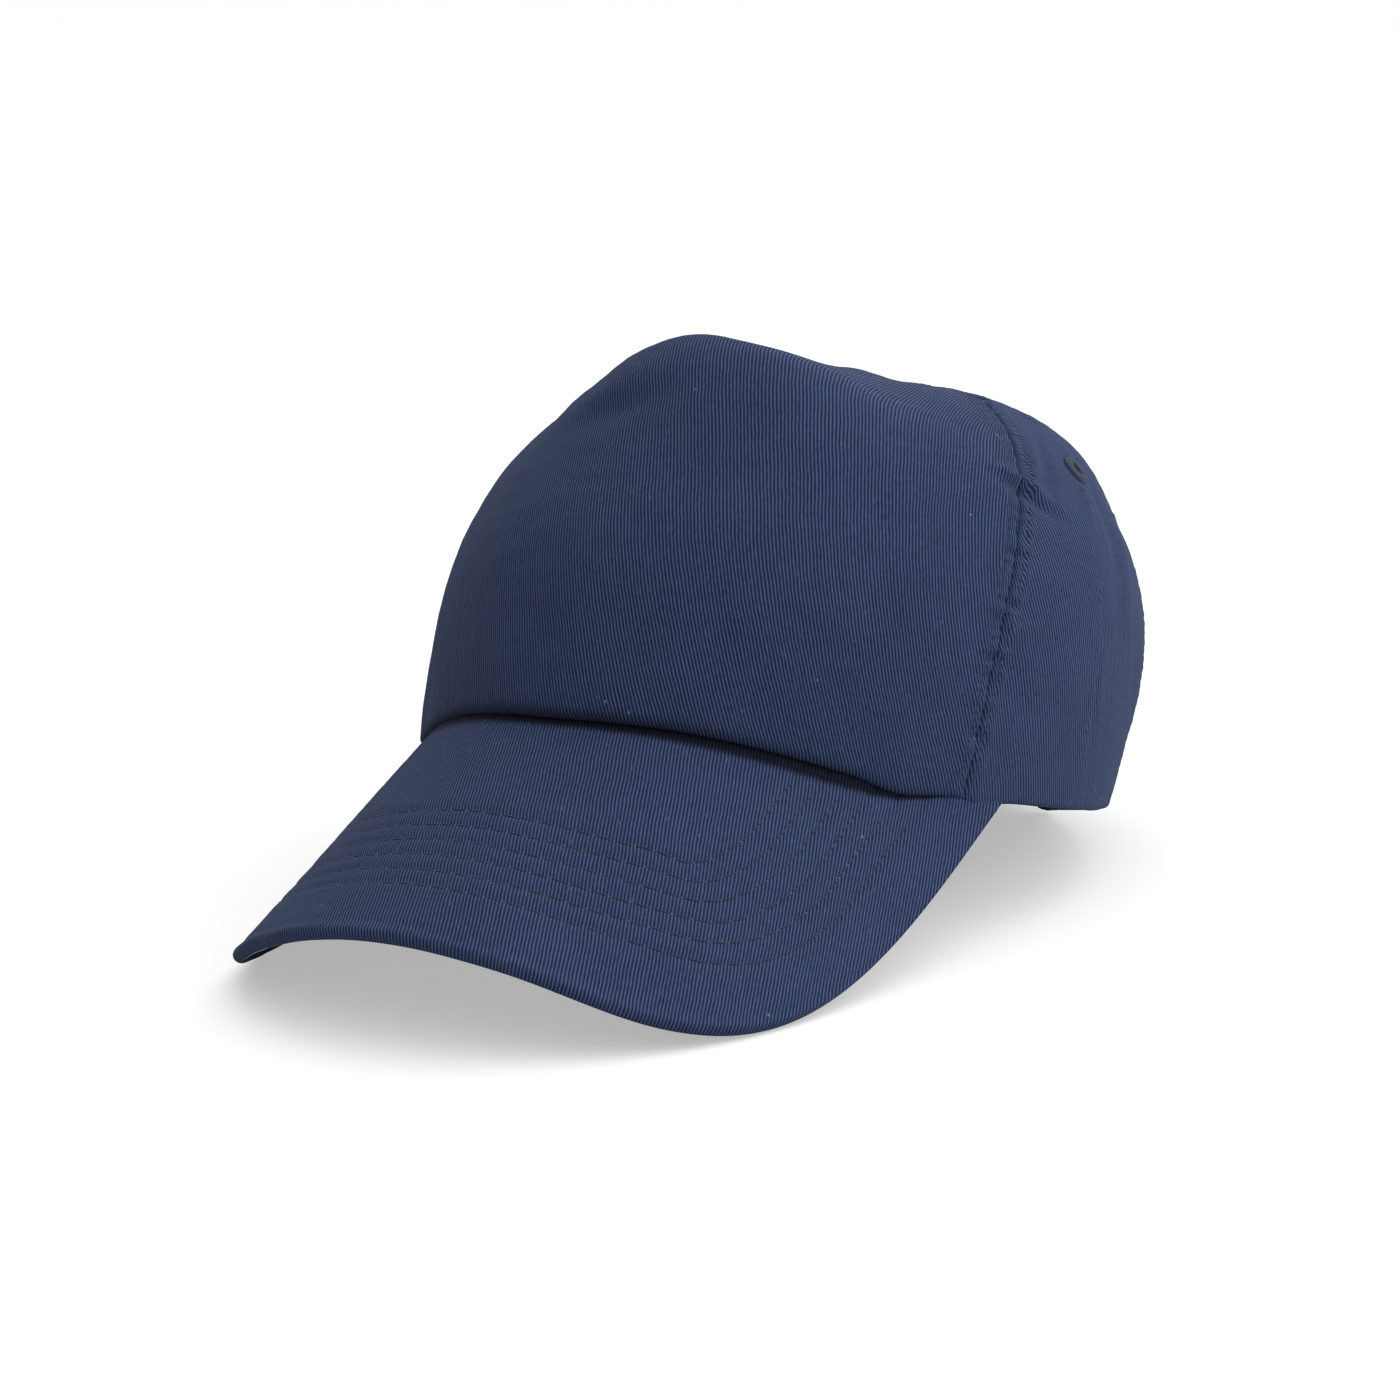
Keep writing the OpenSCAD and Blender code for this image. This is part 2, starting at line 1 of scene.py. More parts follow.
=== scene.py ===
"""A navy cotton cap with a curved visor, sewn eyelets and two back straps.

Shapes are worked out in crown millimetres: x to the wearer's left, y to the back, z up.
rest() tips the cap with its front raised and stands it on the floor, z = 0.
A place on the crown is an angle `ang` in degrees (0 front, 90 wearer's left, 180 back)
and a height share `rise` (0 hem, 1 top). A place on the visor is `turn` (-90 to 90 degrees,
positive to the wearer's left) and `out` (0 root, 1 free edge).
"""

import bpy
import numpy as np
from mathutils import Matrix, Vector
from mathutils.bvhtree import BVHTree
from mathutils.kdtree import KDTree


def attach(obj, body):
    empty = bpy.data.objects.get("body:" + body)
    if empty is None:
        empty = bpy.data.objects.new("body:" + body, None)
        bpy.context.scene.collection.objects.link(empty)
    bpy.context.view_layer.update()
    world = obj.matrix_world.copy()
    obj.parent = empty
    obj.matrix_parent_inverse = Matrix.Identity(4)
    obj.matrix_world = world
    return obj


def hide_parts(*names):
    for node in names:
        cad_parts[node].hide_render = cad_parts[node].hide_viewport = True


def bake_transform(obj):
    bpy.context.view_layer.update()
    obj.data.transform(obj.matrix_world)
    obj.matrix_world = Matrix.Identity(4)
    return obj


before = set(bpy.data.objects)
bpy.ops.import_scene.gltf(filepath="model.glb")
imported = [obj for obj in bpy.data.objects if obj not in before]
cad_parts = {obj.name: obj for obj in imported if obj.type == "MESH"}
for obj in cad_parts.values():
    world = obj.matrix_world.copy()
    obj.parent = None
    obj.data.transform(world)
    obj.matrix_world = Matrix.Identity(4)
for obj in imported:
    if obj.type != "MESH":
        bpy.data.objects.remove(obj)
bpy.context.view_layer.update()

COARSE = 1.0
rng = np.random.default_rng(7)

# ---------------------------------------------------------------- driving dimensions, mm
DEG = np.pi / 180
LENGTH, WIDTH, HEIGHT = 197.2, 178.4, 108.3
HALF_LEN, HALF_WID = LENGTH / 2, WIDTH / 2
OVAL = 1.83                     # exponent of the rim's superellipse
APEX_Y = 23.9                   # where the crown's top lies
BULGE, BULGE_Y, BULGE_SPREAD = 29.7, -63.8, 24.3   # raised front of the crown
LEAN = 18.9                     # tip of the resting cap, degrees
FRONT_ANG, FRONT_TOP_ANG = 64.0, 81.0   # front seams at the hem and at the top
REAR_ANG, REAR_TOP_ANG = 119.0, 128.0   # rear side seams
TOP_RISE = 0.985                # where the panels end under the button
RUN = 190                       # rough cloth length from hem to top
HEM_LIFT, HEM_DIP = 2.69, 1.77
CLOTH = 1.2                     # thickness of the crown cloth
BAND_RISE = 0.19                # upper edge of the sweatband
VISOR_LEN, VISOR_HALF, VISOR_SLOPE = 62.7, 84.5, 43.0
VISOR_ROOT_Z, VISOR_END_Y, VISOR_GAP = 2.66, -31.7, 0.1
SAG, CURL = 0.006, 0.18e-6      # sideways bend of the visor, x**2 and x**4 terms
BOARD, VISOR_CLOTH = 1.8, 0.75  # thicknesses inside the visor
VISOR_THICK = 2 * VISOR_CLOTH + BOARD + .3
EDGE_R = VISOR_THICK / 2
ARCH_HALF, ARCH_RISE = 26.0, 0.28   # back opening: half angle and height share
STRAP_PAST, STRAP_THICK = 14.0, 1.0  # degrees past the middle, mm
BUTTON_R = 7.2
EYE_RISE = 0.52
EYES = {"left_side": 92.0, "right_side": -92.0, "left_back": 148.0, "right_back": -148.0}
SIDES = ((1, "left"), (-1, "right"))


def signed_pow(value, power):
    return np.sign(value) * np.abs(value) ** power


def smooth(value):
    """Smooth step from 0 to 1."""
    value = np.clip(value, 0, 1)
    return value * value * (3 - 2 * value)


def mix(start, end, share):
    return start + (end - start) * share


def unit(vectors):
    return vectors / np.maximum(np.linalg.norm(vectors, axis=-1, keepdims=True), 1e-9)


def sin_deg(ang):
    return np.sin(np.asarray(ang, float) * DEG)


def cos_deg(ang):
    return np.cos(np.asarray(ang, float) * DEG)


def bell(value, spread):
    return np.exp(-(value / spread) ** 2)


SLOPE_COS, SLOPE_SIN = cos_deg(VISOR_SLOPE), sin_deg(VISOR_SLOPE)
LEAN_COS, LEAN_SIN = cos_deg(LEAN), sin_deg(LEAN)


# ---------------------------------------------------------------- smooth crown
def rim(ang):
    return (HALF_WID * signed_pow(sin_deg(ang), 2 / OVAL),
            -HALF_LEN * signed_pow(cos_deg(ang), 2 / OVAL))


def side_drop(x):
    return SAG * x * x + CURL * x ** 4


def visor_z(x, y):
    """Height of the bent visor sheet."""
    return VISOR_ROOT_Z + np.tan(VISOR_SLOPE * DEG) * (y + HALF_LEN) - side_drop(x) / SLOPE_COS


def hem(ang):
    x, y = rim(ang)
    past = np.abs(ang) - FRONT_ANG
    return (visor_z(x, y) * (1 - smooth((past + 14) / 18))
            + HEM_LIFT * smooth(past / (150 - FRONT_ANG)) - HEM_DIP * bell(past - 8, 22))


def crown(ang, rise):
    ang, rise = np.broadcast_arrays(np.asarray(ang, float), np.asarray(rise, float))
    rim_x, rim_y = rim(ang)
    foot = hem(ang)
    facing = cos_deg(ang)
    front = np.maximum(0, facing) ** 2
    back = np.maximum(0, -facing) ** 2
    side = 1 - front - back

    def by_side(at_front, at_side, at_back):
        return at_front * front + at_side * side + at_back * back

    draw_in = np.maximum(0, cos_deg(90 * rise)) ** by_side(0.945, 0.667, 1.073)
    climb = np.maximum(0, sin_deg(90 * rise)) ** by_side(0.870, 0.728, 0.950)
    swell = by_side(2.45, 5.63, 19.7) * (1 - 0.5 * bell(180 - np.abs(ang), 28))
    swell = swell * sin_deg(180 * np.maximum(0, rise) ** 0.8)
    out_x, out_y = rim_x / HALF_WID / HALF_WID, rim_y / HALF_LEN / HALF_LEN
    size = np.maximum(np.hypot(out_x, out_y), 1e-9)
    x = rim_x * draw_in + swell * out_x / size
    y = APEX_Y + (rim_y - APEX_Y) * draw_in + swell * out_y / size
    z = foot + (HEIGHT - foot) * climb
    mound = np.exp(-(x / 60) ** 2 - ((y - BULGE_Y) / BULGE_SPREAD) ** 2)
    z = z + BULGE * mound * smooth((z - 60) / 50)
    return np.stack([x, y, z], -1)


def crown_normal(ang, rise):
    step = .012
    rise = np.clip(rise, step, TOP_RISE)
    return unit(np.cross(crown(ang + 1, rise) - crown(ang - 1, rise),
                         crown(ang, rise + step) - crown(ang, rise - step)))


def under(ang, rise, depth):
    return crown(ang, rise) - np.asarray(depth)[..., None] * crown_normal(ang, rise)


def per_deg(ang, rise):
    """Millimetres per degree round the crown."""
    rise = np.minimum(rise, TOP_RISE)
    return np.linalg.norm(crown(ang + .5, rise) - crown(ang - .5, rise), axis=-1)


def seam_front(rise):
    return mix(FRONT_ANG, FRONT_TOP_ANG, rise) - .65 * sin_deg(180 * rise)


def seam_rear(rise):
    return mix(REAR_ANG, REAR_TOP_ANG, rise)


def arch(ang):
    """Height share of the back opening's edge."""
    share = (180 - np.abs(ang)) / ARCH_HALF
    edge = ARCH_RISE * np.sqrt(np.maximum(0, 1 - np.clip(share, 0, 1) ** 2.4))
    return np.where(share < 1, edge, 0)


# ---------------------------------------------------------------- smooth visor
def visor_y(x):
    """Place of the visor's free edge."""
    curve = np.maximum(0, 1 - np.abs(x / VISOR_HALF) ** 2.035) ** (1 / 3.25)
    return VISOR_END_Y - (HALF_LEN + VISOR_LEN + VISOR_END_Y) * curve


ROOT_ANG = np.arcsin((VISOR_HALF / HALF_WID) ** (OVAL / 2)) / DEG


def visor_plain(turn, out):
    turn, out = np.broadcast_arrays(turn, out)
    ang = turn * ROOT_ANG / 90
    root_x, root_y = rim(ang)
    edge_x = VISOR_HALF * sin_deg(turn)
    x = mix(root_x, edge_x, out)
    y = mix(root_y, visor_y(edge_x), out)
    join_z = hem(ang) - VISOR_GAP - visor_z(root_x, root_y)
    return np.stack([x, y, visor_z(x, y) + join_z * bell(np.hypot(x - root_x, y - root_y), 9)], -1)


def visor(turn, out):
    """The visor with the uneven lift and drop of its free edge."""
    pts = visor_plain(turn, out)
    edge = (1.35 * smooth((turn + 68) / 10) * (1 - smooth((turn - 22) / 26))
            + .45 * bell(turn + 35, 22)
            - 4.3 * smooth((-turn - 65) / 12) * (1 - .5 * smooth((-turn - 84) / 6)))
    pts[..., 2] += edge * np.clip(out, 0, 1.1) ** 4
    return pts


def visor_normal(turn, out):
    step = .02
    turn = np.clip(turn, -88.5, 88.5)
    out = np.clip(out, step, 1 - step)
    return unit(np.cross(visor(turn - 1.5, out) - visor(turn + 1.5, out),
                         visor(turn, out + step) - visor(turn, out - step)))


def visor_at(turn, out, depth):
    """A point under the visor's top face; the visor thins towards its ends."""
    thin = mix(1, .5, smooth((np.abs(turn) - 68) / 22))
    return visor(turn, out) - (np.asarray(depth) * thin)[..., None] * visor_normal(turn, out)


def visor_len(turn):
    return np.maximum(8, np.linalg.norm(visor(turn, 1.) - visor(turn, 0.), axis=-1))


def round_in(inset, radius):
    """Depth of a rounded edge at a distance in from it."""
    return radius - np.sqrt(np.maximum(0, radius * radius - np.maximum(0, radius - inset) ** 2))


# ---------------------------------------------------------------- resting place
def leaned(pts):
    y = pts[..., 1] - HALF_LEN
    return np.stack([pts[..., 0], y * LEAN_COS + pts[..., 2] * LEAN_SIN,
                     -y * LEAN_SIN + pts[..., 2] * LEAN_COS], -1)


def rest_origin():
    """Middle of the leaned cap's length, and its lowest contact."""
    front = leaned(np.array([0, visor_y(0.), visor_z(0., visor_y(0.))]))[1]
    back = leaned(crown(180., np.arange(0, .601, .02)))[:, 1].max()
    turn, inset = np.meshgrid(np.arange(40, 89, 1.), [.5, 1.6])
    corner = visor_at(turn, 1 - inset / visor_len(turn), VISOR_THICK - round_in(inset, EDGE_R))
    rear = under(np.arange(155, 181, 1.), .02, .2)
    lowest = min(leaned(corner)[..., 2].min(), leaned(rear)[..., 2].min())
    return np.array([0, (front + back) / 2 + .6, lowest])


REST_ORIGIN = rest_origin()


def rest(pts):
    return leaned(pts) - REST_ORIGIN


# ---------------------------------------------------------------- mesh helpers
def add_piece(name, data, look, node=None, body="cap", sharp=50):
    """Adds (verts in crown mm, faces, cloth uv) with the material of a (material, slot) look; the
    slot is not used.
    """
    verts, faces, cloth = data
    mesh = bpy.data.meshes.new(name)
    mesh.from_pydata((rest(verts) * .001).tolist(), [], faces)
    mesh.validate()
    mesh.polygons.foreach_set("use_smooth", np.ones(len(mesh.polygons), bool))
    if sharp:
        mesh.set_sharp_from_angle(angle=sharp * DEG)
    attribute = mesh.attributes.new("cloth", "FLOAT_VECTOR", "POINT")
    values = np.zeros((len(verts), 3), np.float32)
    values[:, :cloth.shape[1]] = cloth
    attribute.data.foreach_set("vector", values.ravel())
    piece = bpy.data.objects.new(name, mesh)
    bpy.context.scene.collection.objects.link(piece)
    mesh.materials.append(look[0])
    if body:
        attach(piece, body)
    if node:
        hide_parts(node)
    return piece


def arc(pts, axis):
    """Running length along an axis of points."""
    steps = np.linalg.norm(np.diff(pts, axis=axis), axis=-1)
    zero = np.zeros_like(np.take(steps, [0], axis=axis))
    return np.concatenate([zero, np.cumsum(steps, axis=axis)], axis=axis)


def along(places, run, values):
    return np.stack([np.interp(places, run, values[:, i]) for i in range(3)], -1)


def ring_quads(ids):
    """Quads between rings of points; the last axis of ids runs round a ring."""
    turned = np.roll(ids, -1, -1)
    return np.stack([ids[..., :-1, :], ids[..., 1:, :],
                     turned[..., 1:, :], turned[..., :-1, :]], -1).reshape(-1, 4)


def cloth_uv(face):
    width = arc(face, 0)
    return np.stack([width - width[len(width) // 2][None], arc(face, 1)], -1)


def shell(face, other, roll=None, uv=None, hole=None):
    """Closed sheet between two grids.

    face lies on the side of the cross product of its two directions. roll holds rows that
    turn from face's first row to other's; hole is a (row, row, column, column) opening.
    """
    rows, cols = face.shape[:2]
    uv = cloth_uv(face) if uv is None else uv
    parts, uvs = [other[:, ::-1], face], [uv[:, ::-1], uv]
    turns = 0
    if roll is not None:
        turns = roll.shape[1]
        run = arc(np.concatenate([face[:, :1], roll], 1), 1)[:, 1:]
        fold_uv = np.stack([np.repeat(uv[:, :1, 0], turns, 1), uv[:, :1, 1] - run], -1)
        fold_uv = np.concatenate([fold_uv, np.repeat(uv[:, :1, 2:], turns, 1)], -1)
        parts.insert(1, roll[:, ::-1])
        uvs.insert(1, fold_uv[:, ::-1])
    grid = np.concatenate(parts, 1)
    uv = np.concatenate(uvs, 1)
    ids = np.arange(rows * grid.shape[1]).reshape(rows, -1)
    near = ids[:, cols + turns:]
    far = ids[:, :cols][:, ::-1]
    quads = np.stack([ids[:-1, :-1], ids[1:, :-1], ids[1:, 1:], ids[:-1, 1:]], -1)
    keep = np.ones(quads.shape[:2], bool)
    walls = []
    if hole is not None:
        i0, i1, j0, j1 = hole
        keep[i0:i1, cols + turns + j0:cols + turns + j1] = False
        keep[i0:i1, cols - 1 - j1:cols - 1 - j0] = False
        for i in range(i0, i1):
            walls.append([near[i, j0], near[i + 1, j0], far[i + 1, j0], far[i, j0]])
            walls.append([near[i + 1, j1], near[i, j1], far[i, j1], far[i + 1, j1]])
        for j in range(j0, j1):
            walls.append([near[i0, j + 1], near[i0, j], far[i0, j], far[i0, j + 1]])
            walls.append([near[i1, j], near[i1, j + 1], far[i1, j + 1], far[i1, j]])
    for i, order in ((0, 1), (rows - 1, -1)):
        for j in range(cols - 1):
            walls.append([far[i, j], near[i, j], near[i, j + 1], far[i, j + 1]][::order])
        if turns:
            walls.append(ids[i, cols - 1:cols + turns + 1][::order])
    for i in range(rows - 1):
        walls.append([near[i, -1], near[i + 1, -1], far[i + 1, -1], far[i, -1]])
    faces = quads[keep].tolist() + [[int(corner) for corner in wall] for wall in walls]
    return grid.reshape(-1, 3), faces, uv.reshape(-1, uv.shape[-1])


def tube(path, normals, outline):
    """Sweeps a closed outline of (side, up) points along a path."""
    tangent = unit(np.gradient(path, axis=0))
    side = unit(np.cross(tangent, normals))
    normals = unit(np.cross(side, tangent))
    outline = np.asarray(outline, float)
    outline = np.broadcast_to(outline, (len(path),) + outline.shape[-2:])
    verts = path[:, None] + side[:, None] * outline[..., :1] + normals[:, None] * outline[..., 1:2]
    ids = np.arange(outline[..., 0].size).reshape(outline.shape[:2])
    faces = ring_quads(ids)[:, ::-1].tolist() + [ids[0].tolist(), ids[-1][::-1].tolist()]
    uv = np.stack(np.meshgrid(arc(path, 0), arc(outline[0], 0), indexing="ij"), -1)
    return verts.reshape(-1, 3), faces, uv.reshape(-1, 2)


def join(parts):
    verts, faces, uvs, offset = [], [], [], 0
    for part_verts, part_faces, part_uv in parts:
        verts.append(part_verts)
        uvs.append(part_uv)
        faces += [[int(i) + offset for i in face] for face in part_faces]
        offset += len(part_verts)
    return np.concatenate(verts), faces, np.concatenate(uvs)


def surface_of(data):
    return BVHTree.FromPolygons([Vector(point) for point in data[0].tolist()], data[1])


# Stitches: pitch, thread radius, gap, lift, skew, sink, then jitter and shift if not usual
THREADS = {
    "seam": (2.4, .145, .5, .10, .12, .05), "rear_seam": (2.4, .145, .5, .05, .12, .05),
    "tape": (2.6, .16, .6, .16, .1, .03), "band": (3.0, .2, .8, .2, .2, .04),
    "arch": (2.5, .19, .6, .22, .15, .04), "strap": (2.6, .19, .6, .18, .12, .02),
    "label": (2.4, .15, .5, .12, .1, .03), "visor": (4.9, .165, .24, .12, .18, .05, .08),
    "points": (4.9, .13, 4.45, .03, 0, .05, .08, .5)}


def stitches(lines, kind):
    """Little arched cylinders along (points, normals) lines; their ends dive into the cloth."""
    pitch, radius, gap, lift, skew, sink, jitter, shift = (THREADS[kind] + (.06, 0.0))[:8] \
        if len(THREADS[kind]) != 7 else THREADS[kind] + (0.0,)
    verts, faces, uvs, offset = [], [], [], 0
    ticks = np.linspace(0, 1, 9)
    around = np.arange(8) * 2 * np.pi / 8
    taper = np.sqrt(np.maximum(.04, 1 - np.abs(2 * ticks - 1) ** 7))
    radii = (radius * taper * (1 + .04 * np.sin(ticks * 30)))[None, :, None, None]
    height = lift * (1 - np.abs(2 * ticks - 1) ** 3.2) - sink
    for path, normals in lines:
        run = arc(path, 0)
        count = max(1, int(round(run[-1] / pitch)))
        step = run[-1] / count
        start = np.arange(count) * step + gap / 2 + rng.normal(0, jitter, count) * .5
        end = (np.arange(count) + 1) * step - gap / 2 + rng.normal(0, jitter, count) * .5
        places = start[:, None] + (end - start)[:, None] * ticks[None] + shift * step
        centre = along(places, run, path)
        normal = unit(along(places, run, normals))
        side = unit(np.cross(unit(np.gradient(centre, axis=1)), normal))
        sway = skew * (ticks - .5) + 0 * places + rng.normal(0, jitter, (count, 1)) * .5
        centre = centre + normal * height[None, :, None] + side * sway[..., None]
        ring = centre[:, :, None] + radii * (
            side[:, :, None] * np.cos(around)[None, None, :, None]
            + normal[:, :, None] * .85 * np.sin(around)[None, None, :, None])
        ids = np.arange(ring[..., 0].size).reshape(ring.shape[:3]) + offset
        faces += ring_quads(ids)[:, ::-1].tolist()
        faces += ids[:, 0].tolist() + ids[:, -1, ::-1].tolist()
        verts.append(ring.reshape(-1, 3))
        uv = [np.broadcast_to(part, ring.shape[:3])
              for part in (places[:, :, None], around[None, None] * radius)]
        uvs.append(np.stack(uv, -1).reshape(-1, 2))
        offset += ids.size
    return np.concatenate(verts), faces, np.concatenate(uvs)


def waves(across, up_cloth, seed, count, short, long):
    """Smooth uneven relief of about -1 to 1, with wavelengths from short to long."""
    draws = np.random.default_rng(seed)
    out = 0
    for _ in range(count):
        length = draws.uniform(short, long)
        turn = draws.uniform(0, np.pi)
        phase = draws.uniform(0, 6.28)
        reach = across * np.cos(turn) + up_cloth * np.sin(turn)
        out = out + np.sin(2 * np.pi * reach / length + phase)
    return out / np.sqrt(count)


# ---------------------------------------------------------------- materials
X_AXIS, Y_AXIS, Z_AXIS = (1, 0, 0), (0, 1, 0), (0, 0, 1)


class Net:
    """Short forms for building the node tree of a material or world."""

    def __init__(self, owner):
        owner.use_nodes = True
        self.owner = owner
        self.tree = owner.node_tree

    def node(self, kind, **settings):
        made = self.tree.nodes.new(kind)
        for key, value in settings.items():
            setattr(made, key, value)
        return made

    def put(self, socket, value):
        if isinstance(value, bpy.types.NodeSocket):
            self.tree.links.new(value, socket)
        else:
            socket.default_value = value

    def fill(self, node, values):
        """Sets inputs from (name or index, value) pairs."""
        for key, value in values:
            self.put(node.inputs[key], value)
        return node

    def math(self, operation, *values):
        node = self.node("ShaderNodeMath", operation=operation)
        return self.fill(node, enumerate(values)).outputs[0]

    def mul(self, first, second):
        return self.math("MULTIPLY", first, second)

    def add(self, first, second):
        return self.math("ADD", first, second)

    def dot(self, vector, weights):
        node = self.node("ShaderNodeVectorMath", operation="DOT_PRODUCT")
        return self.fill(node, enumerate((vector, weights))).outputs["Value"]

    def vec(self, x, y, z=0.0):
        return self.fill(self.node("ShaderNodeCombineXYZ"), enumerate((x, y, z))).outputs[0]

    def grey(self, value):
        return self.vec(value, value, value)

    def scaled(self, x, x_scale, y, y_scale, z=0.0):
        return self.vec(self.mul(x, x_scale), self.mul(y, y_scale), z)

    def noise(self, vector, scale, detail=2.0, rough=.5):
        return self.fill(self.node("ShaderNodeTexNoise"), (
            ("Vector", vector), ("Scale", scale), ("Detail", detail),
            ("Roughness", rough))).outputs["Fac"]

    def cells(self, vector, scale):
        node = self.node("ShaderNodeTexVoronoi", feature="F1")
        return self.fill(node, (("Vector", vector), ("Scale", scale))).outputs

    def ramp(self, value, start, end, at_start=0.0, at_end=1.0, kind="SMOOTHSTEP"):
        node = self.node("ShaderNodeMapRange", interpolation_type=kind)
        return self.fill(node, enumerate((value, start, end, at_start, at_end))).outputs[0]

    def blend(self, share, first, second, mode="MIX"):
        node = self.node("ShaderNodeMix", data_type="RGBA", blend_type=mode)
        return self.fill(node, ((0, share), (6, first), (7, second))).outputs[2]

    def tint(self, colour, by):
        return self.blend(1.0, colour, by, "MULTIPLY")

    def bump(self, height, distance, strength=1.0, normal=None):
        node = self.fill(self.node("ShaderNodeBump"), (
            ("Height", height), ("Distance", distance), ("Strength", strength)))
        if normal is not None:
            self.put(node.inputs["Normal"], normal)
        return node.outputs[0]

    def camera_ray(self):
        return self.node("ShaderNodeLightPath").outputs["Is Camera Ray"]

    def cloth(self):
        return self.node("ShaderNodeAttribute", attribute_name="cloth").outputs["Vector"]

    def place(self):
        return self.node("ShaderNodeTexCoord").outputs["Object"]

    def surface(self, values):
        """Ends the tree with a Principled shader and gives back the material."""
        shader = self.fill(self.node("ShaderNodeBsdfPrincipled"), values.items())
        self.put(self.node("ShaderNodeOutputMaterial").inputs[0], shader.outputs[0])
        return self.owner


def material_net(name):
    net = Net(bpy.data.materials.new(name))
    net.tree.nodes.clear()
    return net


def rgb(colour, gain=1.0):
    return (colour[0] * gain, colour[1] * gain, colour[2] * gain, 1.0)


def twill(name, base=(0.0212, 0.0343, 0.0875), pitch=.85, slant=(.927, .375), lint=1.0):
    """Cotton drill: slanting ribs of yarn floats, uneven yarns, blotches and lint.

    The third cloth value darkens the colour. It is a painted shade where the crown's hem rolls over
    the visor.
    """
    net = material_net(name)
    full = net.cloth()
    flat = net.vec(net.dot(full, X_AXIS), net.dot(full, Y_AXIS))
    # painted shade: the third cloth value, which darkens the base colour below
    shade = net.dot(full, Z_AXIS)
    across, up_rib = slant
    # ribs, each a row of short floats shifted from rib to rib
    phase = net.add(net.dot(flat, (across / pitch, up_rib / pitch, 0)),
                    net.mul(net.noise(flat, .09), .9))
    length = net.dot(flat, (-up_rib / pitch, across / pitch, 0))
    float_phase = net.add(net.mul(length, 1.35), net.mul(net.math("FLOOR", phase), .37))
    rib = net.math("MULTIPLY_ADD", net.math("SINE", net.mul(phase, 2 * np.pi)), .5, .5)
    floats = net.math("SINE", net.mul(float_phase, 2 * np.pi))
    height = net.add(net.mul(rib, .75), net.mul(net.mul(floats, rib), .10))
    # light and dark: ribs, grain, upright yarns, level yarns, blotches
    grain = net.noise(net.scaled(phase, 1.3, length, .42), 1.0, 3.0, .65)
    tone = net.add(net.mul(net.math("SUBTRACT", rib, .5), 2.0), 1.0)
    tone = net.mul(tone, net.ramp(grain, .25, .75, .72, 1.30))
    for x_scale, y_scale, seed, spread in ((1.7, .07, 3.0, .07), (.06, 1.9, 9.0, .05)):
        yarn = net.scaled(net.dot(flat, X_AXIS), x_scale, net.dot(flat, Y_AXIS), y_scale, seed)
        uneven = net.ramp(net.noise(yarn, 1.0, 2.0, .6), .3, .7, 1 - spread, 1 + spread)
        tone = net.mul(tone, uneven)
    tone = net.mul(tone, net.ramp(net.noise(flat, .035, 3.0, .55), .3, .7, .94, 1.06))
    tone = net.add(tone, net.mul(net.mul(floats, rib), .07))
    warmer = rgb((base[0] * 1.12, base[1] * .96, base[2] * .96))
    hue = net.blend(net.ramp(net.noise(flat, .45), .35, .7, 0, .5), rgb(base), warmer)
    colour = net.blend(net.ramp(tone, .58, 1.72, 0, 1, "LINEAR"),
                       net.tint(hue, (.44, .50, .60, 1)), net.tint(hue, (2.60, 2.36, 1.90, 1)))
    # specks of lint in some of the cells
    cell = net.cells(flat, .16)
    pick = net.ramp(net.dot(cell["Color"], X_AXIS), .80, .82)
    speck = net.mul(net.ramp(cell["Distance"], .035, .075, 1, 0), pick)
    speck = net.mul(speck, net.ramp(net.noise(flat, .9), .35, .6, .2, .5 * lint))
    colour = net.blend(speck, colour, (.26, .30, .38, 1))
    # slubs: short paler yarn ends lying along the ribs
    cell = net.cells(net.scaled(net.dot(flat, (across, up_rib, 0)), .95,
                                net.dot(flat, (-up_rib, across, 0)), .26), 1.0)
    pick = net.ramp(net.dot(cell["Color"], Y_AXIS), .84, 1.0, 0, .34 * lint)
    slub = net.mul(net.ramp(cell["Distance"], .10, .27, 1, 0), pick)
    colour = net.blend(slub, colour, (.10, .128, .20, 1))
    uneven = net.bump(net.noise(flat, .22, 3.0, .55), .00035, .5)
    return net.surface({
        "Base Color": net.tint(colour, net.grey(net.math("SUBTRACT", 1.0, shade))),
        "Roughness": .92, "Specular IOR Level": .12, "Sheen Weight": .05,
        "Sheen Roughness": .45, "Sheen Tint": (.55, .68, 1.0, 1),
        "Normal": net.bump(net.add(height, net.mul(grain, .35)), .00012, 1.0, uneven)})


def thread(name, base):
    """Twisted sewing thread."""
    net = material_net(name)
    flat = net.cloth()
    twist = net.math("SINE", net.add(net.mul(net.dot(flat, X_AXIS), 13.0),
                                     net.mul(net.dot(flat, Y_AXIS), 9.0)))
    tone = net.mul(net.ramp(twist, -1, 1, .72, 1.2),
                   net.ramp(net.noise(flat, 1.6, 3.0, .6), .3, .7, .85, 1.15))
    return net.surface({
        "Base Color": net.tint(rgb(base), net.grey(tone)), "Roughness": .6,
        "Specular IOR Level": .3, "Sheen Weight": .15, "Normal": net.bump(twist, .00004)})


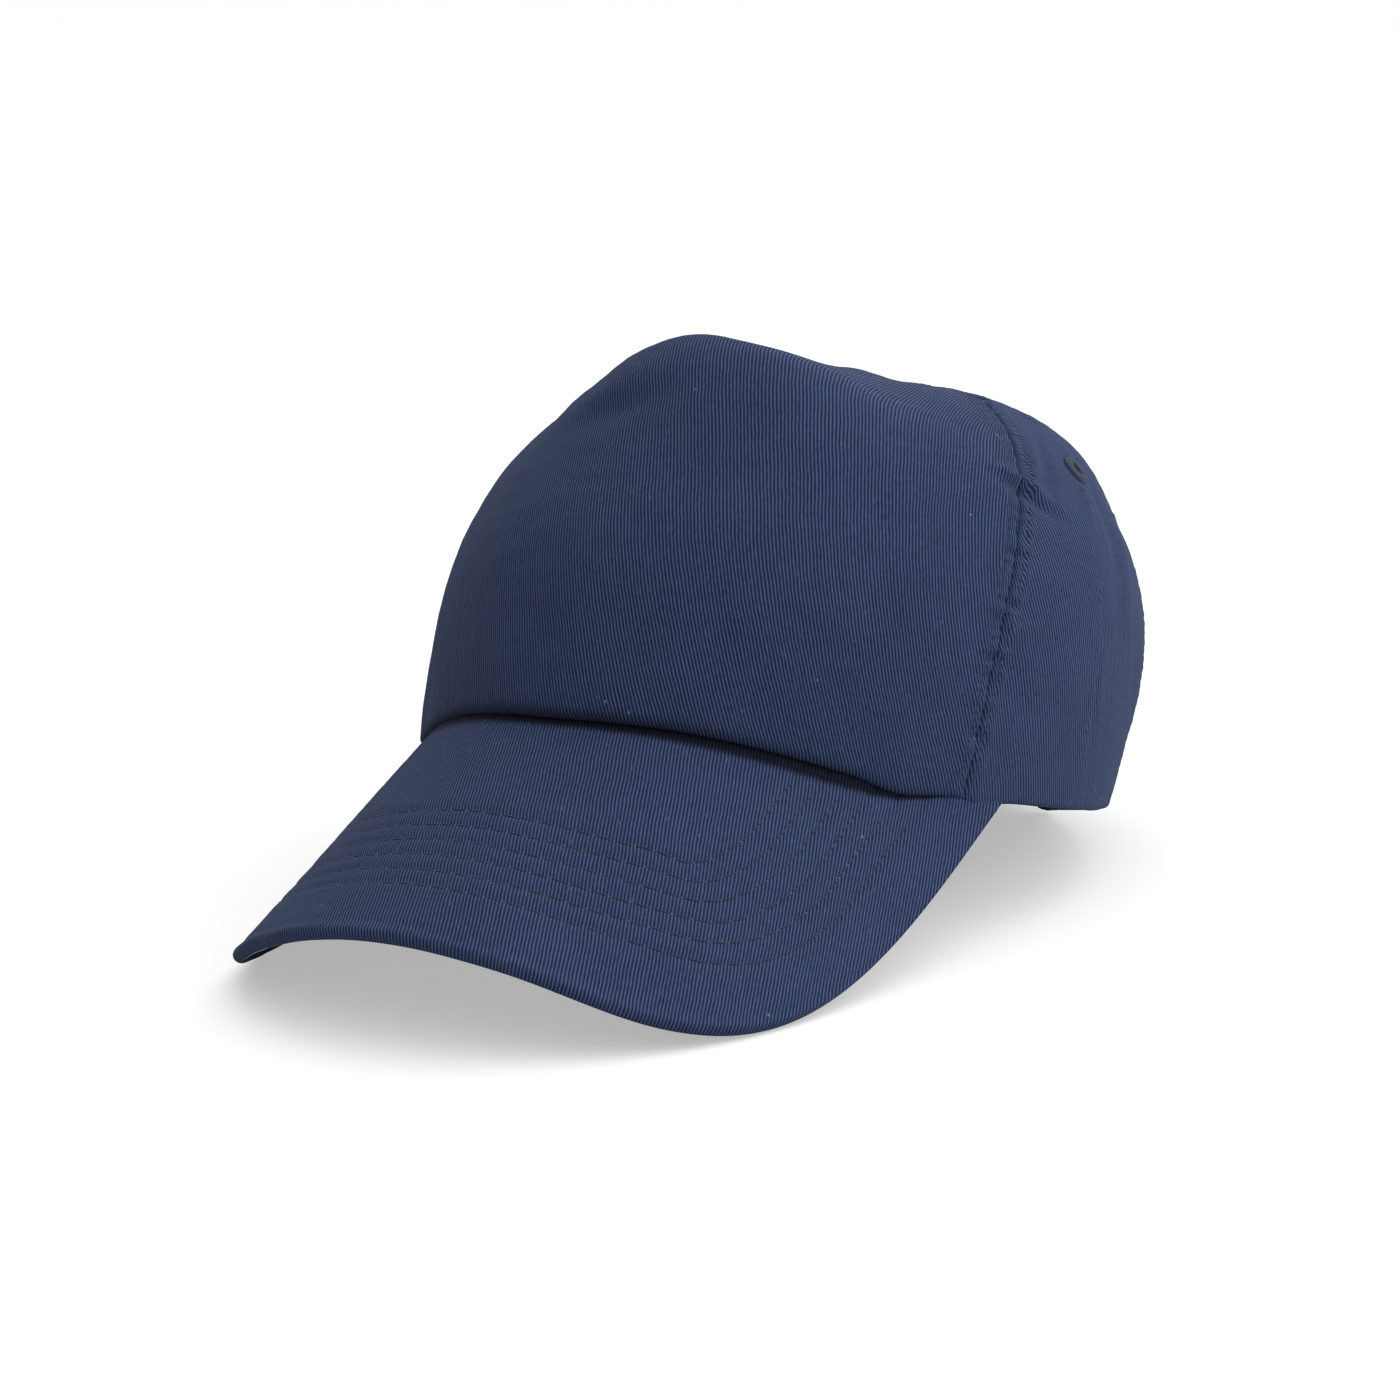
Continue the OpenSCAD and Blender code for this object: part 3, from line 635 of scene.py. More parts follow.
def weave(name, base, pitch, depth=.00006, rough=.9, contrast=.2, sheen=.15, holes=0.0):
    """Plain weave: over and under yarns at right angles."""
    net = material_net(name)
    flat = net.cloth()
    wobble = net.math("MULTIPLY_ADD", net.noise(flat, .25), .8, 0)
    warp, weft = (net.math("SINE", net.add(net.mul(net.dot(flat, axis), np.pi / pitch), wobble))
                  for axis in (X_AXIS, Y_AXIS))
    round_yarn = net.add(net.math("ABSOLUTE", warp), net.math("ABSOLUTE", weft))
    height = net.add(net.mul(net.mul(warp, weft), .4), net.mul(round_yarn, .3))
    uneven = net.noise(flat, .6, 3.0, .6)
    tone = net.add(net.mul(height, contrast), net.ramp(uneven, .3, .7, .86, 1.1))
    if holes:
        tone = net.mul(tone, net.ramp(round_yarn, .25, .75, 1 - holes, 1.0))
    return net.surface({
        "Base Color": net.tint(rgb(base), net.grey(tone)), "Roughness": rough,
        "Specular IOR Level": .2, "Sheen Weight": sheen, "Sheen Roughness": .5,
        "Normal": net.bump(height, depth, 1.0, net.bump(uneven, .0002, .4))})


def metal(name, base):
    net = material_net(name)
    place = net.place()
    grain = net.noise(place, 900, 4.0, .6)
    wear = net.ramp(net.noise(place, 220, 3.0, .6), .4, .7)
    rough = .35
    return net.surface({
        "Base Color": net.blend(wear, rgb(base), rgb(base, .72)), "Metallic": 1.0,
        "Roughness": net.ramp(grain, .3, .7, rough - .08, rough + .15),
        "Normal": net.bump(grain, .00002, .6)})


def plastic(name, base, rough):
    net = material_net(name)
    place = net.place()
    grain = net.noise(place, 1500, 3.0, .6)
    spots = net.noise(place, 90, 3.0, .6)
    return net.surface({
        "Base Color": net.blend(net.ramp(spots, .35, .7), rgb(base), rgb(base, .9)),
        "Roughness": net.ramp(spots, .3, .7, rough - .06, rough + .1),
        "Normal": net.bump(grain, .00003, .6)})


# looks: (material, slot)
TWILL = twill("navy_twill"), "navy_twill"
VISOR_TWILL = twill("navy_twill_visor", lint=1.3), "navy_twill"
SWEATBAND = (twill("sweatband_cotton", base=(.032, .047, .104), slant=(.2, .98), pitch=.8,
                   lint=.4), "sweatband_cotton")
STRAP_TWILL = twill("navy_twill_strap", slant=(.8, .6), pitch=.8, lint=.5), "navy_twill"
TAPE = weave("seam_tape", (.030, .042, .095), pitch=.45), "seam_tape"
BUCKRAM = (weave("buckram", (.76, .76, .73), pitch=.9, depth=.00012, contrast=.25, holes=.55),
           "buckram")
THREAD = thread("thread", (.013, .019, .045)), "thread"
POINT_THREAD = thread("thread_points", (.13, .16, .24)), "thread"
SEAM_THREAD = thread("thread_seam", (.016, .025, .060)), "thread"
EYE_THREAD = thread("thread_eyelet", (.021, .033, .074)), "thread"
LABEL = (weave("label", (.84, .84, .81), pitch=.28, depth=.00003, rough=.55, contrast=.10,
               sheen=.3), "label")
HOOK = plastic("hook_tape", (.020, .026, .046), rough=.45), "hook_tape"
LOOP = (weave("loop_tape", (.020, .028, .058), pitch=.7, depth=.0002, rough=1.0, contrast=.5,
              sheen=.6), "loop_tape")
STEEL = metal("button_metal", (.70, .70, .70)), "button_metal"
BRASS = metal("rivet_brass", (.78, .62, .34))
BOARD_LOOK = plastic("board", (.86, .86, .84), rough=.5)

# ---------------------------------------------------------------- slack shape of the cloth
# soft bulges and hollows: angle, rise, height mm, spread in degrees, spread in rise
SOFT = [
    (-44, .49, -1.15, 14, .12), (-17, .59, .97, 12, .09), (10, .62, -.92, 14, .09),
    (34, .83, 1.1, 14, .07), (58, .87, -.77, 18, .07), (105, .63, 1.08, 16, .11),
    (114, .46, -.8, 12, .08), (121, .20, .7, 14, .13), (120, .07, -.6, 12, .05),
    (32, .725, 1.35, 9, .075), (79, .855, -.9, 8, .05)]

# creases: angle, rise, length mm, width mm, tilt from the hem in degrees, height mm
FOLDS = [
    (71.5, .447, 9, 2.2, -38, 1.5), (72.5, .415, 10, 2.6, -34, -1.6),
    (76.0, .50, 2.0, 17, -14, .95), (79.5, .50, 2.6, 17, -12, -.8),
    (-18, .592, 4.5, 1.0, 20, -1.5), (-14, .465, 15, 4.5, 18, -1.5),
    (-16, .50, 17, 5.0, 16, .8), (90.0, .44, 2.6, 20, -6, .7), (98, .40, 3.2, 24, 3, -.7),
    (104, .36, 4.5, 28, 0, .7), (68, .20, 9, 2.4, 30, -.35), (69, .165, 10, 2.4, 22, .35),
    (67.5, .13, 9, 2.0, 35, -.3), (-71.0, .46, 10, 2.8, 34, .8),
    (-72.5, .42, 11, 3.0, 28, -.8), (-96, .40, 3.2, 24, 4, -.4), (-106, .36, 4.5, 28, 0, .4),
    (124, .45, 9, 3, 30, -.6), (126, .49, 9, 3, 26, .5), (-124, .40, 9, 3, -30, -.6),
    (-126, .44, 9, 3, -26, .5), (150, .62, 20, 5, 12, -.6), (-152, .58, 22, 5, -14, .5)]


def angle_from(ang, centre):
    return (ang - centre + 180) % 360 - 180


def slack(ang, rise):
    ang = np.asarray(ang, float)
    rise = np.asarray(rise, float)
    out = .22 * waves(HALF_WID * ang * DEG, RUN * rise, seed=3, count=6, short=55, long=130)
    out = out * smooth(rise / .15) * (1 - smooth((rise - .9) / .08))
    for centre, level, height, ang_spread, rise_spread in SOFT:
        out = out + height * np.exp(-(angle_from(ang, centre) / ang_spread) ** 2
                                    - ((rise - level) / rise_spread) ** 2)
    return out


def cloth_at(ang, rise, depth=0):
    """A point under the slack outside of the crown."""
    return crown(ang, rise) + crown_normal(ang, rise) * (slack(ang, rise) - depth)[..., None]


def row_off(rise):
    """Distance of the stitch rows from a seam."""
    return 2.1 + 1.1 * smooth(rise / .45) - .1 * smooth((rise - .5) / .5)


def seam_relief(offset, up_cloth, rise, seed, strength):
    """Groove, ridges and puckers beside a seam."""
    row = row_off(rise)
    away = np.abs(offset)
    out = (-.46 * bell(offset, .50) + .22 * (1 - smooth((away - row - .9) / 2.2))
           - .22 * bell(away - row, .42))
    draws = np.random.default_rng(seed)
    pucker = 0
    for length in (3.9, 5.3, 7.7, 11.0):
        pucker = pucker + np.sin(2 * np.pi * up_cloth / length + draws.uniform(0, 6.28)
                                 + .35 * np.sign(offset) + .12 * offset * draws.uniform(.5, 1.5))
    pucker = pucker * (bell(away - row * .55, 2.4)
                       * (.11 + .07 * np.sin(up_cloth / 23 + draws.uniform(0, 6))))
    return (strength * (out + pucker) * (1 - smooth((rise - .90) / .07))
            * (1 - .55 * smooth((rise - .74) / .12)) * smooth((rise + .02) / .03))


def relief(ang, rise):
    """Fine height of the sewn cloth over the smooth crown, mm."""
    scale = per_deg(ang, rise)
    up_cloth = RUN * rise
    out = (.05 * waves(scale * ang, up_cloth, seed=11, count=8, short=6, long=16)
           + .10 * waves(scale * ang, up_cloth, seed=12, count=7, short=16, long=40))
    for seam, seed, strength in ((seam_front, 21, 1.45), (seam_rear, 31, .28)):
        for side, _ in SIDES:
            offset = (np.abs(ang) - seam(rise)) * scale * side
            near = (np.where(ang < 0, -1, 1) == side) & (np.abs(offset) < 14)
            sewn = seam_relief(offset, up_cloth, rise, seed + side, strength)
            out = out + np.where(near, sewn, 0)
    offset = ((ang % 360) - 180) * scale
    near = (np.abs(offset) < 14) & (rise > .2)
    sewn = np.where(near, seam_relief(offset, up_cloth, rise, 41, .7), 0)
    out = out + sewn * smooth((rise - ARCH_RISE - .02) / .03)
    for centre, level, length, width, tilt, height in FOLDS:
        x = angle_from(ang, centre) * per_deg(centre, level)
        y = (rise - level) * RUN
        cos, sin = np.cos(tilt * DEG), np.sin(tilt * DEG)
        out = out + height * np.exp(-((x * cos + y * sin) / length) ** 2
                                    - ((-x * sin + y * cos) / width) ** 2)
    for eye in EYES.values():
        reach = np.hypot(angle_from(ang, eye) * per_deg(eye, EYE_RISE), (rise - EYE_RISE) * 175)
        out = out * (1 - np.exp(-(reach / 7) ** 4)) - .25 * bell(reach - 5.2, 1.3)
    return out


def hang(ang):
    """How far the slack hem hangs below the smooth crown."""
    away = np.abs(ang)
    return (2.0 * smooth((away - 62) / 6) * (1 - smooth((away - 100) / 16))
            + 1.5 * bell(away - 67, 5) + 2.2 * bell(ang, 32)
            + 1.3 * smooth((away - 47) / 7) * (1 - smooth((away - 63) / 7)))


def lip(ang):
    """How far the front hem rolls forward over the visor's root."""
    away = np.abs(ang)
    return 2.0 * bell(ang, 32) + .9 * smooth((away - 47) / 7) * (1 - smooth((away - 63) / 9))


def junction_shade_strength(ang):
    """Strength of the painted shade where the hem meets the visor: the shadow under the rolled hem.
    """
    return bell(ang, 40) * .75 + .25 * (1 - smooth((np.abs(ang) - 52) / 12))


# ---------------------------------------------------------------- crown panels
STEP = .92 * COARSE
ROWS = int(RUN / STEP)
OVERLAP = .02   # degrees between a panel's edge and its seam
panels = []


def panel(columns, low_ends, eye=None, bent=False):
    """Sheet of a panel; columns(rise) gives the angles, low_ends where each column starts."""
    low_ends = low_ends[:, None]
    rise = low_ends + (TOP_RISE - low_ends) * np.linspace(0, 1, ROWS)[None] ** .97
    ang = columns(rise)
    pts = crown(ang, rise)
    normal = crown_normal(ang, rise)
    fine = relief(ang, rise)
    loose = slack(ang, rise)
    fall = 1 - smooth(rise / .12)
    rim_x, rim_y = rim(ang)
    outward = unit(np.stack([rim_x / HALF_WID / HALF_WID, rim_y / HALF_LEN / HALF_LEN], -1))
    pts[..., 2] -= hang(ang) * fall
    pts[..., :2] += outward * (lip(ang) * fall)[..., None]
    # the fold at the lower end is tighter along the back opening
    on_arch = smooth((arch(ang[:, 0]) - .004) / .02)
    fold_r = mix(1.3, .58, on_arch)[:, None]
    fold_drop = mix(1.5, .35, on_arch)[:, None]
    outer = pts + normal * (loose + fine)[..., None]
    run = arc(outer, 1)
    thick = CLOTH + (2 * fold_r - CLOTH) * bell(run, 4.5)
    inner = pts + normal * (loose + .3 * fine - thick)[..., None]
    edge, edge_normal = outer[:, 0], normal[:, 0]
    down = unit(np.cross(unit(np.gradient(edge, axis=0)), edge_normal))
    inner[:, 0] = edge - edge_normal * (2 * fold_r)
    turn = np.linspace(0, np.pi, 12)[1:-1]
    roll = (edge[:, None] - edge_normal[:, None] * (fold_r * (1 - np.cos(turn)[None]))[..., None]
            + down[:, None] * (fold_drop * np.sin(turn)[None])[..., None])
    # the weave is straight along the middle, or along the rear seam on a bent panel
    straight = np.sign(ang[0, 0]) * seam_rear(rise) if bent else (ang[0] + ang[-1])[None] / 2
    scale = np.mean([per_deg(mix(straight, ang, share), rise)
                     for share in np.linspace(.03, .97, 12)], 0)
    base = arc(crown(ang[:, :1], low_ends * np.linspace(0, 1, 12)[None]), 1)[:, -1:]
    # painted shade on the lowest fold of the front hem, where it overhangs the visor
    painted_junction_shade = .55 * junction_shade_strength(ang) * (np.abs(ang) < 66) * (1 - smooth(run / 2.2))
    uv = np.stack([(ang - straight) * scale, run + base, painted_junction_shade], -1)
    hole = None
    if eye is not None:
        centre = cloth_at(eye, EYE_RISE)
        hole_normal = crown_normal(eye, EYE_RISE)
        hole_r, pushed_r = 1.7, 5.2
        for sheet in (outer, inner):
            offset = sheet - centre
            offset = offset - (offset @ hole_normal)[..., None] * hole_normal
            reach = np.linalg.norm(offset, axis=-1, keepdims=True)
            push = hole_r + (pushed_r - hole_r) * reach / pushed_r - reach
            sheet += np.where(reach < pushed_r, offset / np.maximum(reach, 1e-6) * push, 0)
        away = np.linalg.norm(crown(ang, rise) - crown(eye, EYE_RISE), axis=-1)
        i, j = np.unravel_index(np.argmin(away), away.shape)
        hole = (i - 1, i + 1, j - 1, j + 1)
    return shell(outer, inner, roll, uv, hole)


def lower(ang):
    """Height share where a column's outer face ends, above the fold of its hem."""
    length = np.linalg.norm(crown(ang, .03) - crown(ang, .01), axis=-1) / .02
    front = (.35 + 1.15 * bell(ang - 4, 32)) * (1 - smooth((np.abs(ang) - 46) / 14))
    return (1.5 + front) / length


def add_panel(node, columns, hem_angles, eye=None, back=False):
    low_ends = lower(hem_angles)
    if back:
        edge = arch(hem_angles)
        low_ends = np.sqrt(low_ends ** 2 * (1 - smooth(edge / .03)) + edge ** 2)
    data = panel(columns, low_ends, eye, back)
    add_piece(node + "_cloth", data, TWILL, node, sharp=60)
    panels.append(data)


front_share = np.linspace(0, 1, int(2 * FRONT_ANG * 1.56 / STEP))[:, None]
add_panel("front_panel",
          lambda rise: mix(-seam_front(rise) + OVERLAP, seam_front(rise) - OVERLAP, front_share),
          mix(-FRONT_ANG, FRONT_ANG, front_share[:, 0]))

side_share = np.linspace(0, 1, int((REAR_ANG - FRONT_ANG) * 1.56 / STEP))[:, None]
for side, word in SIDES:
    def side_columns(rise):
        ends = seam_front(rise) + OVERLAP, seam_rear(rise) - OVERLAP
        return side * mix(*ends[::side], side_share)

    hem_angles = side * mix(*(FRONT_ANG, REAR_ANG)[::side], side_share[:, 0])
    add_panel(word + "_side_panel", side_columns, hem_angles, EYES[word + "_side"])

solid_cols = int((180 - ARCH_HALF - REAR_ANG) * 1.6 / STEP)
solid_share = np.linspace(0, 1, solid_cols, endpoint=False)[:, None]
arch_angles = 180 - ARCH_HALF * cos_deg(90 * np.linspace(0, 1, int(ARCH_HALF * 1.9 / STEP)))
arch_angles[-1] = 180.03   # the two back panels just overlap, so no light shows between them


def back_columns(rise):
    solid = mix(seam_rear(rise[:solid_cols]) + OVERLAP, 180 - ARCH_HALF, solid_share)
    return np.concatenate([solid, np.repeat(arch_angles[:, None], rise.shape[1], 1)], 0)


back_hem = np.concatenate([mix(REAR_ANG, 180 - ARCH_HALF, solid_share[:, 0]), arch_angles])
add_panel("left_back_panel", back_columns, back_hem, EYES["left_back"], True)
add_panel("right_back_panel", lambda rise: -back_columns(rise[::-1])[::-1],
          -back_hem[::-1], EYES["right_back"], True)
CROWN_TREE = surface_of(join(panels))


# ---------------------------------------------------------------- seam stitches and tapes
def on_crown(ang, rise):
    """A line on the finished outside of the crown, with its normals."""
    normals = crown_normal(ang, rise)
    lifted = 1.2
    line = []
    for point, normal in zip(cloth_at(ang, rise) + normals * lifted, normals):
        hit = CROWN_TREE.ray_cast(Vector((point + normal * 2).tolist()),
                                  Vector((-normal).tolist()), 7.0)[0]
        line.append(np.array(hit) if hit is not None else point - normal * lifted)
    return np.array(line), normals


def seam_rows(centre, rise, side=1):
    offset = row_off(rise) / per_deg(centre, rise)
    return [on_crown(side * (centre + edge * offset), rise) for edge in (-1, 1)]


rise = np.linspace(.012, .945, 420)
for seam, where, kind in ((seam_front, "front", "seam"), (seam_rear, "rear", "rear_seam")):
    for side, word in SIDES:
        add_piece("%s_%s_seam_stitches" % (word, where),
                  stitches(seam_rows(seam(rise), rise, side), kind), SEAM_THREAD,
                  word + "_front_seam_stitching" if where == "front" else None)
rise = np.linspace(ARCH_RISE + .045, .945, 280)
add_piece("centre_back_stitches", stitches(seam_rows(180, rise), "seam"), SEAM_THREAD)


def seam_tape(name, centre, rise, width, side=1, seed=5):
    """Tape inside a seam, stitched along both edges."""
    scale = per_deg(centre, rise)
    across = np.linspace(-1, 1, 11)[:, None]
    ang = side * centre + across * (width / 2) / scale
    bevel = np.abs(across) ** 4 * .22
    wave = .08 * waves(ang * 1.5, rise * RUN, seed=seed, count=5, short=5, long=12)
    add_piece(name + "_tape", shell(cloth_at(ang, rise, CLOTH + .45 + bevel),
                                    cloth_at(ang, rise, CLOTH + 1.05 - bevel * .8 + wave)),
              TAPE, name + "_seam_tape")
    lines = []
    for edge in (-1, 1):
        ang = side * (centre + edge * (width / 2 - 1.3) / scale)
        lines.append((cloth_at(ang, rise, CLOTH + 1.06), -crown_normal(ang, rise)))
    add_piece(name + "_tape_stitches", stitches(lines, "tape"), SEAM_THREAD)


rise = np.linspace(.05, .93, int(160 / COARSE))
for side, word in SIDES:
    for seam, where, width in ((seam_front, "front", 9.0), (seam_rear, "rear", 12.0)):
        seam_tape("%s_%s" % (word, where), seam(rise), rise, width, side)
rise = np.linspace(ARCH_RISE + .08, .90, int(110 / COARSE))
seam_tape("centre_back", 180, rise, 12.0, seed=6)


def front_lining():
    """Stiff gauze behind the front panel."""
    rise = np.linspace(.035, .93, int(130 / COARSE))
    share = np.linspace(-1, 1, int(110 / COARSE))[:, None]
    ang = share * (seam_front(rise) - 5 - 4 * rise / (1.05 - rise))[None]
    wave = .05 * waves(ang * 1.5, rise * RUN, seed=8, count=6, short=8, long=30)
    add_piece("front_lining_gauze", shell(cloth_at(ang, rise, CLOTH + .5),
                                          cloth_at(ang, rise, CLOTH + 1.05 + wave)),
              BUCKRAM, "front_lining")


def sweatband():
    """Folded band inside the hem, with a stitched upper edge."""
    end = 180 - ARCH_HALF - 2.5
    ang = np.linspace(-end, end, int(330 / COARSE))[:, None]
    # the first three rows hang below the hem
    rows = np.concatenate([[-1, -.66, -.33], np.linspace(.004, BAND_RISE, 30)])[None]
    drop = np.where(rows < 0, -rows * (2.6 * (1 - smooth((np.abs(ang) - 44) / 16)) + .1), 0)

    def ripple(ang, rise):
        return .14 * waves(ang * 1.55, rise * RUN, seed=14, count=7, short=14, long=45)

    def face(depth):
        pts = cloth_at(ang, np.maximum(.004, rows), depth)
        pts[..., 2] -= drop
        return pts

    ends = (bell((rows - BAND_RISE) / BAND_RISE, .07) * .28 + bell(rows - rows[0, 0], .5) * .2)
    wave = ripple(ang, rows) * smooth((rows - .01) / .03)
    add_piece("sweatband_cotton", shell(face(3.2 + ends), face(4.1 - ends + wave)), SWEATBAND,
              "sweatband")
    rise = BAND_RISE - .014
    ang = np.linspace(-end + 1, end - 1, 600)
    line = cloth_at(ang, rise, 4.12 + ripple(ang, rise)), -crown_normal(ang, rise)
    add_piece("sweatband_stitches", stitches([line], "band"), SEAM_THREAD)


# binding outline: distance away from the opening's edge, height over the crown
BINDING = np.array([
    (5.55, .38), (5.5, .78), (5.0, .98), (3.9, .9), (3.5, .82), (3.1, .9), (1.2, 1.08), (0, 1.0),
    (-.5, .78), (-.82, .3), (-.95, -CLOTH / 2), (-.82, -CLOTH - .3), (-.5, -CLOTH - .78),
    (0, -CLOTH - 1.0), (1.2, -CLOTH - 1.05), (3.9, -CLOTH - 1.0), (4.7, -CLOTH - .85),
    (4.8, -CLOTH - .4), (4.0, -CLOTH - .3), (.5, -CLOTH - .28), (.1, -CLOTH - .15),
    (-.1, -CLOTH / 2), (.1, .15), (.5, .28), (4.8, .3)])


def arch_binding():
    """Binding round the back opening."""
    stations = np.linspace(-16, 16, int(130 / COARSE))
    offset = ARCH_HALF * sin_deg(90 * stations / 16)
    ang = 180 - offset
    rise = np.maximum(.004, arch(180 - np.abs(offset)))
    normals = crown_normal(ang, np.maximum(.01, rise))
    path = cloth_at(ang, rise)
    outline = np.repeat(BINDING[None], len(stations), 0)
    wave = waves(arc(path, 0), 0 * stations, seed=17, count=6, short=4, long=11)
    outline[:, 1:8, 1] += (.07 * wave)[:, None]
    add_piece("back_arch_binding_cloth", tube(path, normals, outline), STRAP_TWILL,
              "back_arch_binding")
    away = unit(np.cross(unit(np.gradient(path, axis=0)), normals))
    line = path + away * 3.5 + normals * .86, normals
    add_piece("arch_binding_stitches", stitches([line], "arch"), SEAM_THREAD)


front_lining()
sweatband()
arch_binding()


# ---------------------------------------------------------------- visor
# Flat pattern of the visor: (length across the bend, distance down the slope)
def bend_slope(x):
    return 2 * SAG * x + 4 * CURL * x ** 3


bend_x = np.linspace(-95, 95, 3801)
stretch = np.sqrt(1 + bend_slope(bend_x) ** 2)
bend_run = np.cumsum((stretch[1:] + stretch[:-1]) / 2 * np.diff(bend_x))
bend_run = np.concatenate([[0], bend_run])
bend_run -= np.interp(0, bend_x, bend_run)


def flat_x(x):
    return np.interp(x, bend_x, bend_run)


def flat_edge(turn):
    x = VISOR_HALF * sin_deg(turn)
    y = visor_y(x)
    return np.stack([flat_x(x), y * SLOPE_COS + visor_z(x, y) * SLOPE_SIN], -1)


def from_flat(pts):
    x = np.interp(pts[..., 0], bend_run, bend_x)
    slope = pts[..., 1]
    height = VISOR_ROOT_Z * SLOPE_COS + HALF_LEN * SLOPE_SIN - side_drop(x)
    return np.stack([x, slope * SLOPE_COS - height * SLOPE_SIN,
                     slope * SLOPE_SIN + height * SLOPE_COS], -1)


def flat_row(inset):
    """A stitch row set in from the visor's edge, run straight on past its ends."""
    turn = np.linspace(-130, 130, 1600)
    held = np.clip(turn, -80, 80)
    edge = flat_edge(held)
    edge[:, 1] += 1.6 * np.maximum(0, np.abs(turn) - 80)
    tangent = flat_edge(held + .5) - flat_edge(held - .5)
    normal = unit(np.stack([-tangent[:, 1], tangent[:, 0]], -1))
    return edge + (inset - 6 * smooth((np.abs(turn) - 38) / 45))[:, None] * normal


def outside(pts):
    """Positive outside the crown's rim."""
    return np.abs(pts[:, 0] / HALF_WID) ** OVAL + np.abs(pts[:, 1] / HALF_LEN) ** OVAL - 1


def spaced(line, step):
    run = arc(line, 0)
    return line[np.unique(np.searchsorted(run, np.arange(0, run[-1], step)))]


ROW_INSET, ROW_PITCH, ROW_COUNT = 20, 5.7, 6
row_lines = []
for i in range(ROW_COUNT):
    line = from_flat(flat_row(ROW_INSET + ROW_PITCH * i))
    row_lines.append(line[(outside(line) > -.01) & (line[:, 1] < -14)])
row_points = np.concatenate([spaced(line, .3) for line in row_lines])
row_tree = KDTree(len(row_points))
for i, point in enumerate(row_points.tolist()):
    row_tree.insert(point, i)
row_tree.balance()


def row_relief(pts):
    """Grooves along the rows and the padded look between them."""
    away = np.array([row_tree.find(point)[2] for point in pts.reshape(-1, 3).tolist()])
    away = away.reshape(pts.shape[:-1])
    return -.26 * bell(away, .60) + .12 * (1 - bell(away, 1.5)) * np.exp(-(away / 7) ** 4)


def visor_covers():
    """Upper and lower cloth; gives back a search tree of each."""
    turns = np.linspace(-90, 90, 4001)
    run = arc(visor(turns, 1.), 0)
    count = int(350 / COARSE)
    turns = np.interp(np.linspace(0, run[-1], count), run, turns)
    length = visor_len(turns)[:, None]
    # distances in from the free edge: close rows round the edge, then even ones to the root
    edge_rows = np.array([0, .03, .1, .22, .4, .62, .9, 1.2, 1.5])
    even = mix(1.8, length + 2.6, np.linspace(0, 1, int(104 / COARSE))[None])
    inset = np.concatenate([np.repeat(edge_rows[None], count, 0), even], 1)
    turn = np.repeat(turns[:, None], inset.shape[1], 1)
    out = 1 - inset / length
    rounding = np.where(inset < 1.8, inset, 9.0)
    face_depth = round_in(rounding, EDGE_R)
    lining = VISOR_CLOTH + round_in(np.maximum(0, rounding - .78), .9)
    lining = np.minimum(EDGE_R - .03, np.where(rounding > .78, lining, EDGE_R - .03))
    lining = np.where(inset > 3, VISOR_CLOTH, np.maximum(face_depth + .02, lining))
    middle = visor(turn, out)
    across = flat_x(middle[..., 0])
    slope = middle[..., 1] * SLOPE_COS + middle[..., 2] * SLOPE_SIN
    # painted shade on the visor's top just in front of its root, under the crown's overhanging hem;
    # wider in the middle
    central = 1 - smooth((np.abs(turn) - 52) / 38)
    painted_junction_shade = .88 * (1 - smooth((length - inset - 1.5 * central) / (.5 + 2.1 * central)))
    uv = np.stack([across, slope, painted_junction_shade], -1)
    rows = row_relief(visor_plain(turn, out))
    edging = .10 * bell(inset - 2.0, 1.2) - .16 * bell(inset - 4.6, 1.5)
    fade = smooth(inset / 1.6)

    wave = (.07 * waves(across, slope, seed=51, count=8, short=14, long=60)
            + .03 * waves(across, slope, seed=52, count=8, short=5, long=12))
    top = shell(visor_at(turn, out, face_depth - (rows + wave + edging) * fade),
                visor_at(turn, out, lining), uv=uv)
    add_piece("visor_top_cloth", top, VISOR_TWILL, "visor_top_cover", sharp=70)

    wave = .06 * waves(across, slope, seed=53, count=8, short=14, long=60)
    depth = VISOR_THICK - face_depth + (rows + wave + edging) * fade
    # the underside gets no painted shade: its third cloth value is zero
    bottom = shell(visor_at(turn, out, depth)[:, ::-1],
                   visor_at(turn, out, VISOR_THICK - lining)[:, ::-1],
                   uv=(uv * (1, 1, 0))[:, ::-1])
    add_piece("visor_under_cloth", bottom, VISOR_TWILL, "visor_under_cover", sharp=70)
    return surface_of(top), surface_of(bottom)


def on_visor(line, tree, side):
    """Line points dropped on to the top (side 1) or underside (-1), with normals."""
    normals = side * unit(np.stack([bend_slope(line[:, 0]), -SLOPE_SIN + 0 * line[:, 0],
                                    SLOPE_COS + 0 * line[:, 0]], -1))
    pts, kept = [], []
    for point, normal in zip(line, normals):
        hit = tree.ray_cast(Vector((point + normal * 6).tolist()),
                            Vector((-normal).tolist()), 14.0)[0]
        if hit is not None:
            pts.append(np.array(hit))
            kept.append(normal)
    return np.array(pts), np.array(kept)


def visor_stitches(top_tree, under_tree):
    lines = [spaced(line, .6) for line in row_lines]
    top = [on_visor(line[outside(line) > .075], top_tree, 1) for line in lines]
    below = [on_visor(line, under_tree, -1) for line in lines]
    rows = join([stitches(top, "visor"), stitches(below, "visor")])
    clear = [(line, normals, outside(line) > .12) for line, normals in top]
    clear = [(line[keep], normals[keep]) for line, normals, keep in clear if keep.sum() > 20]
    add_piece("visor_needle_points", stitches(clear, "points"), POINT_THREAD)
    add_piece("visor_row_stitches", rows, THREAD, "visor_stitching")


visor_stitches(*visor_covers())

# ---------------------------------------------------------------- button
BUTTON_Z = cloth_at(0, TOP_RISE)[2] - .15


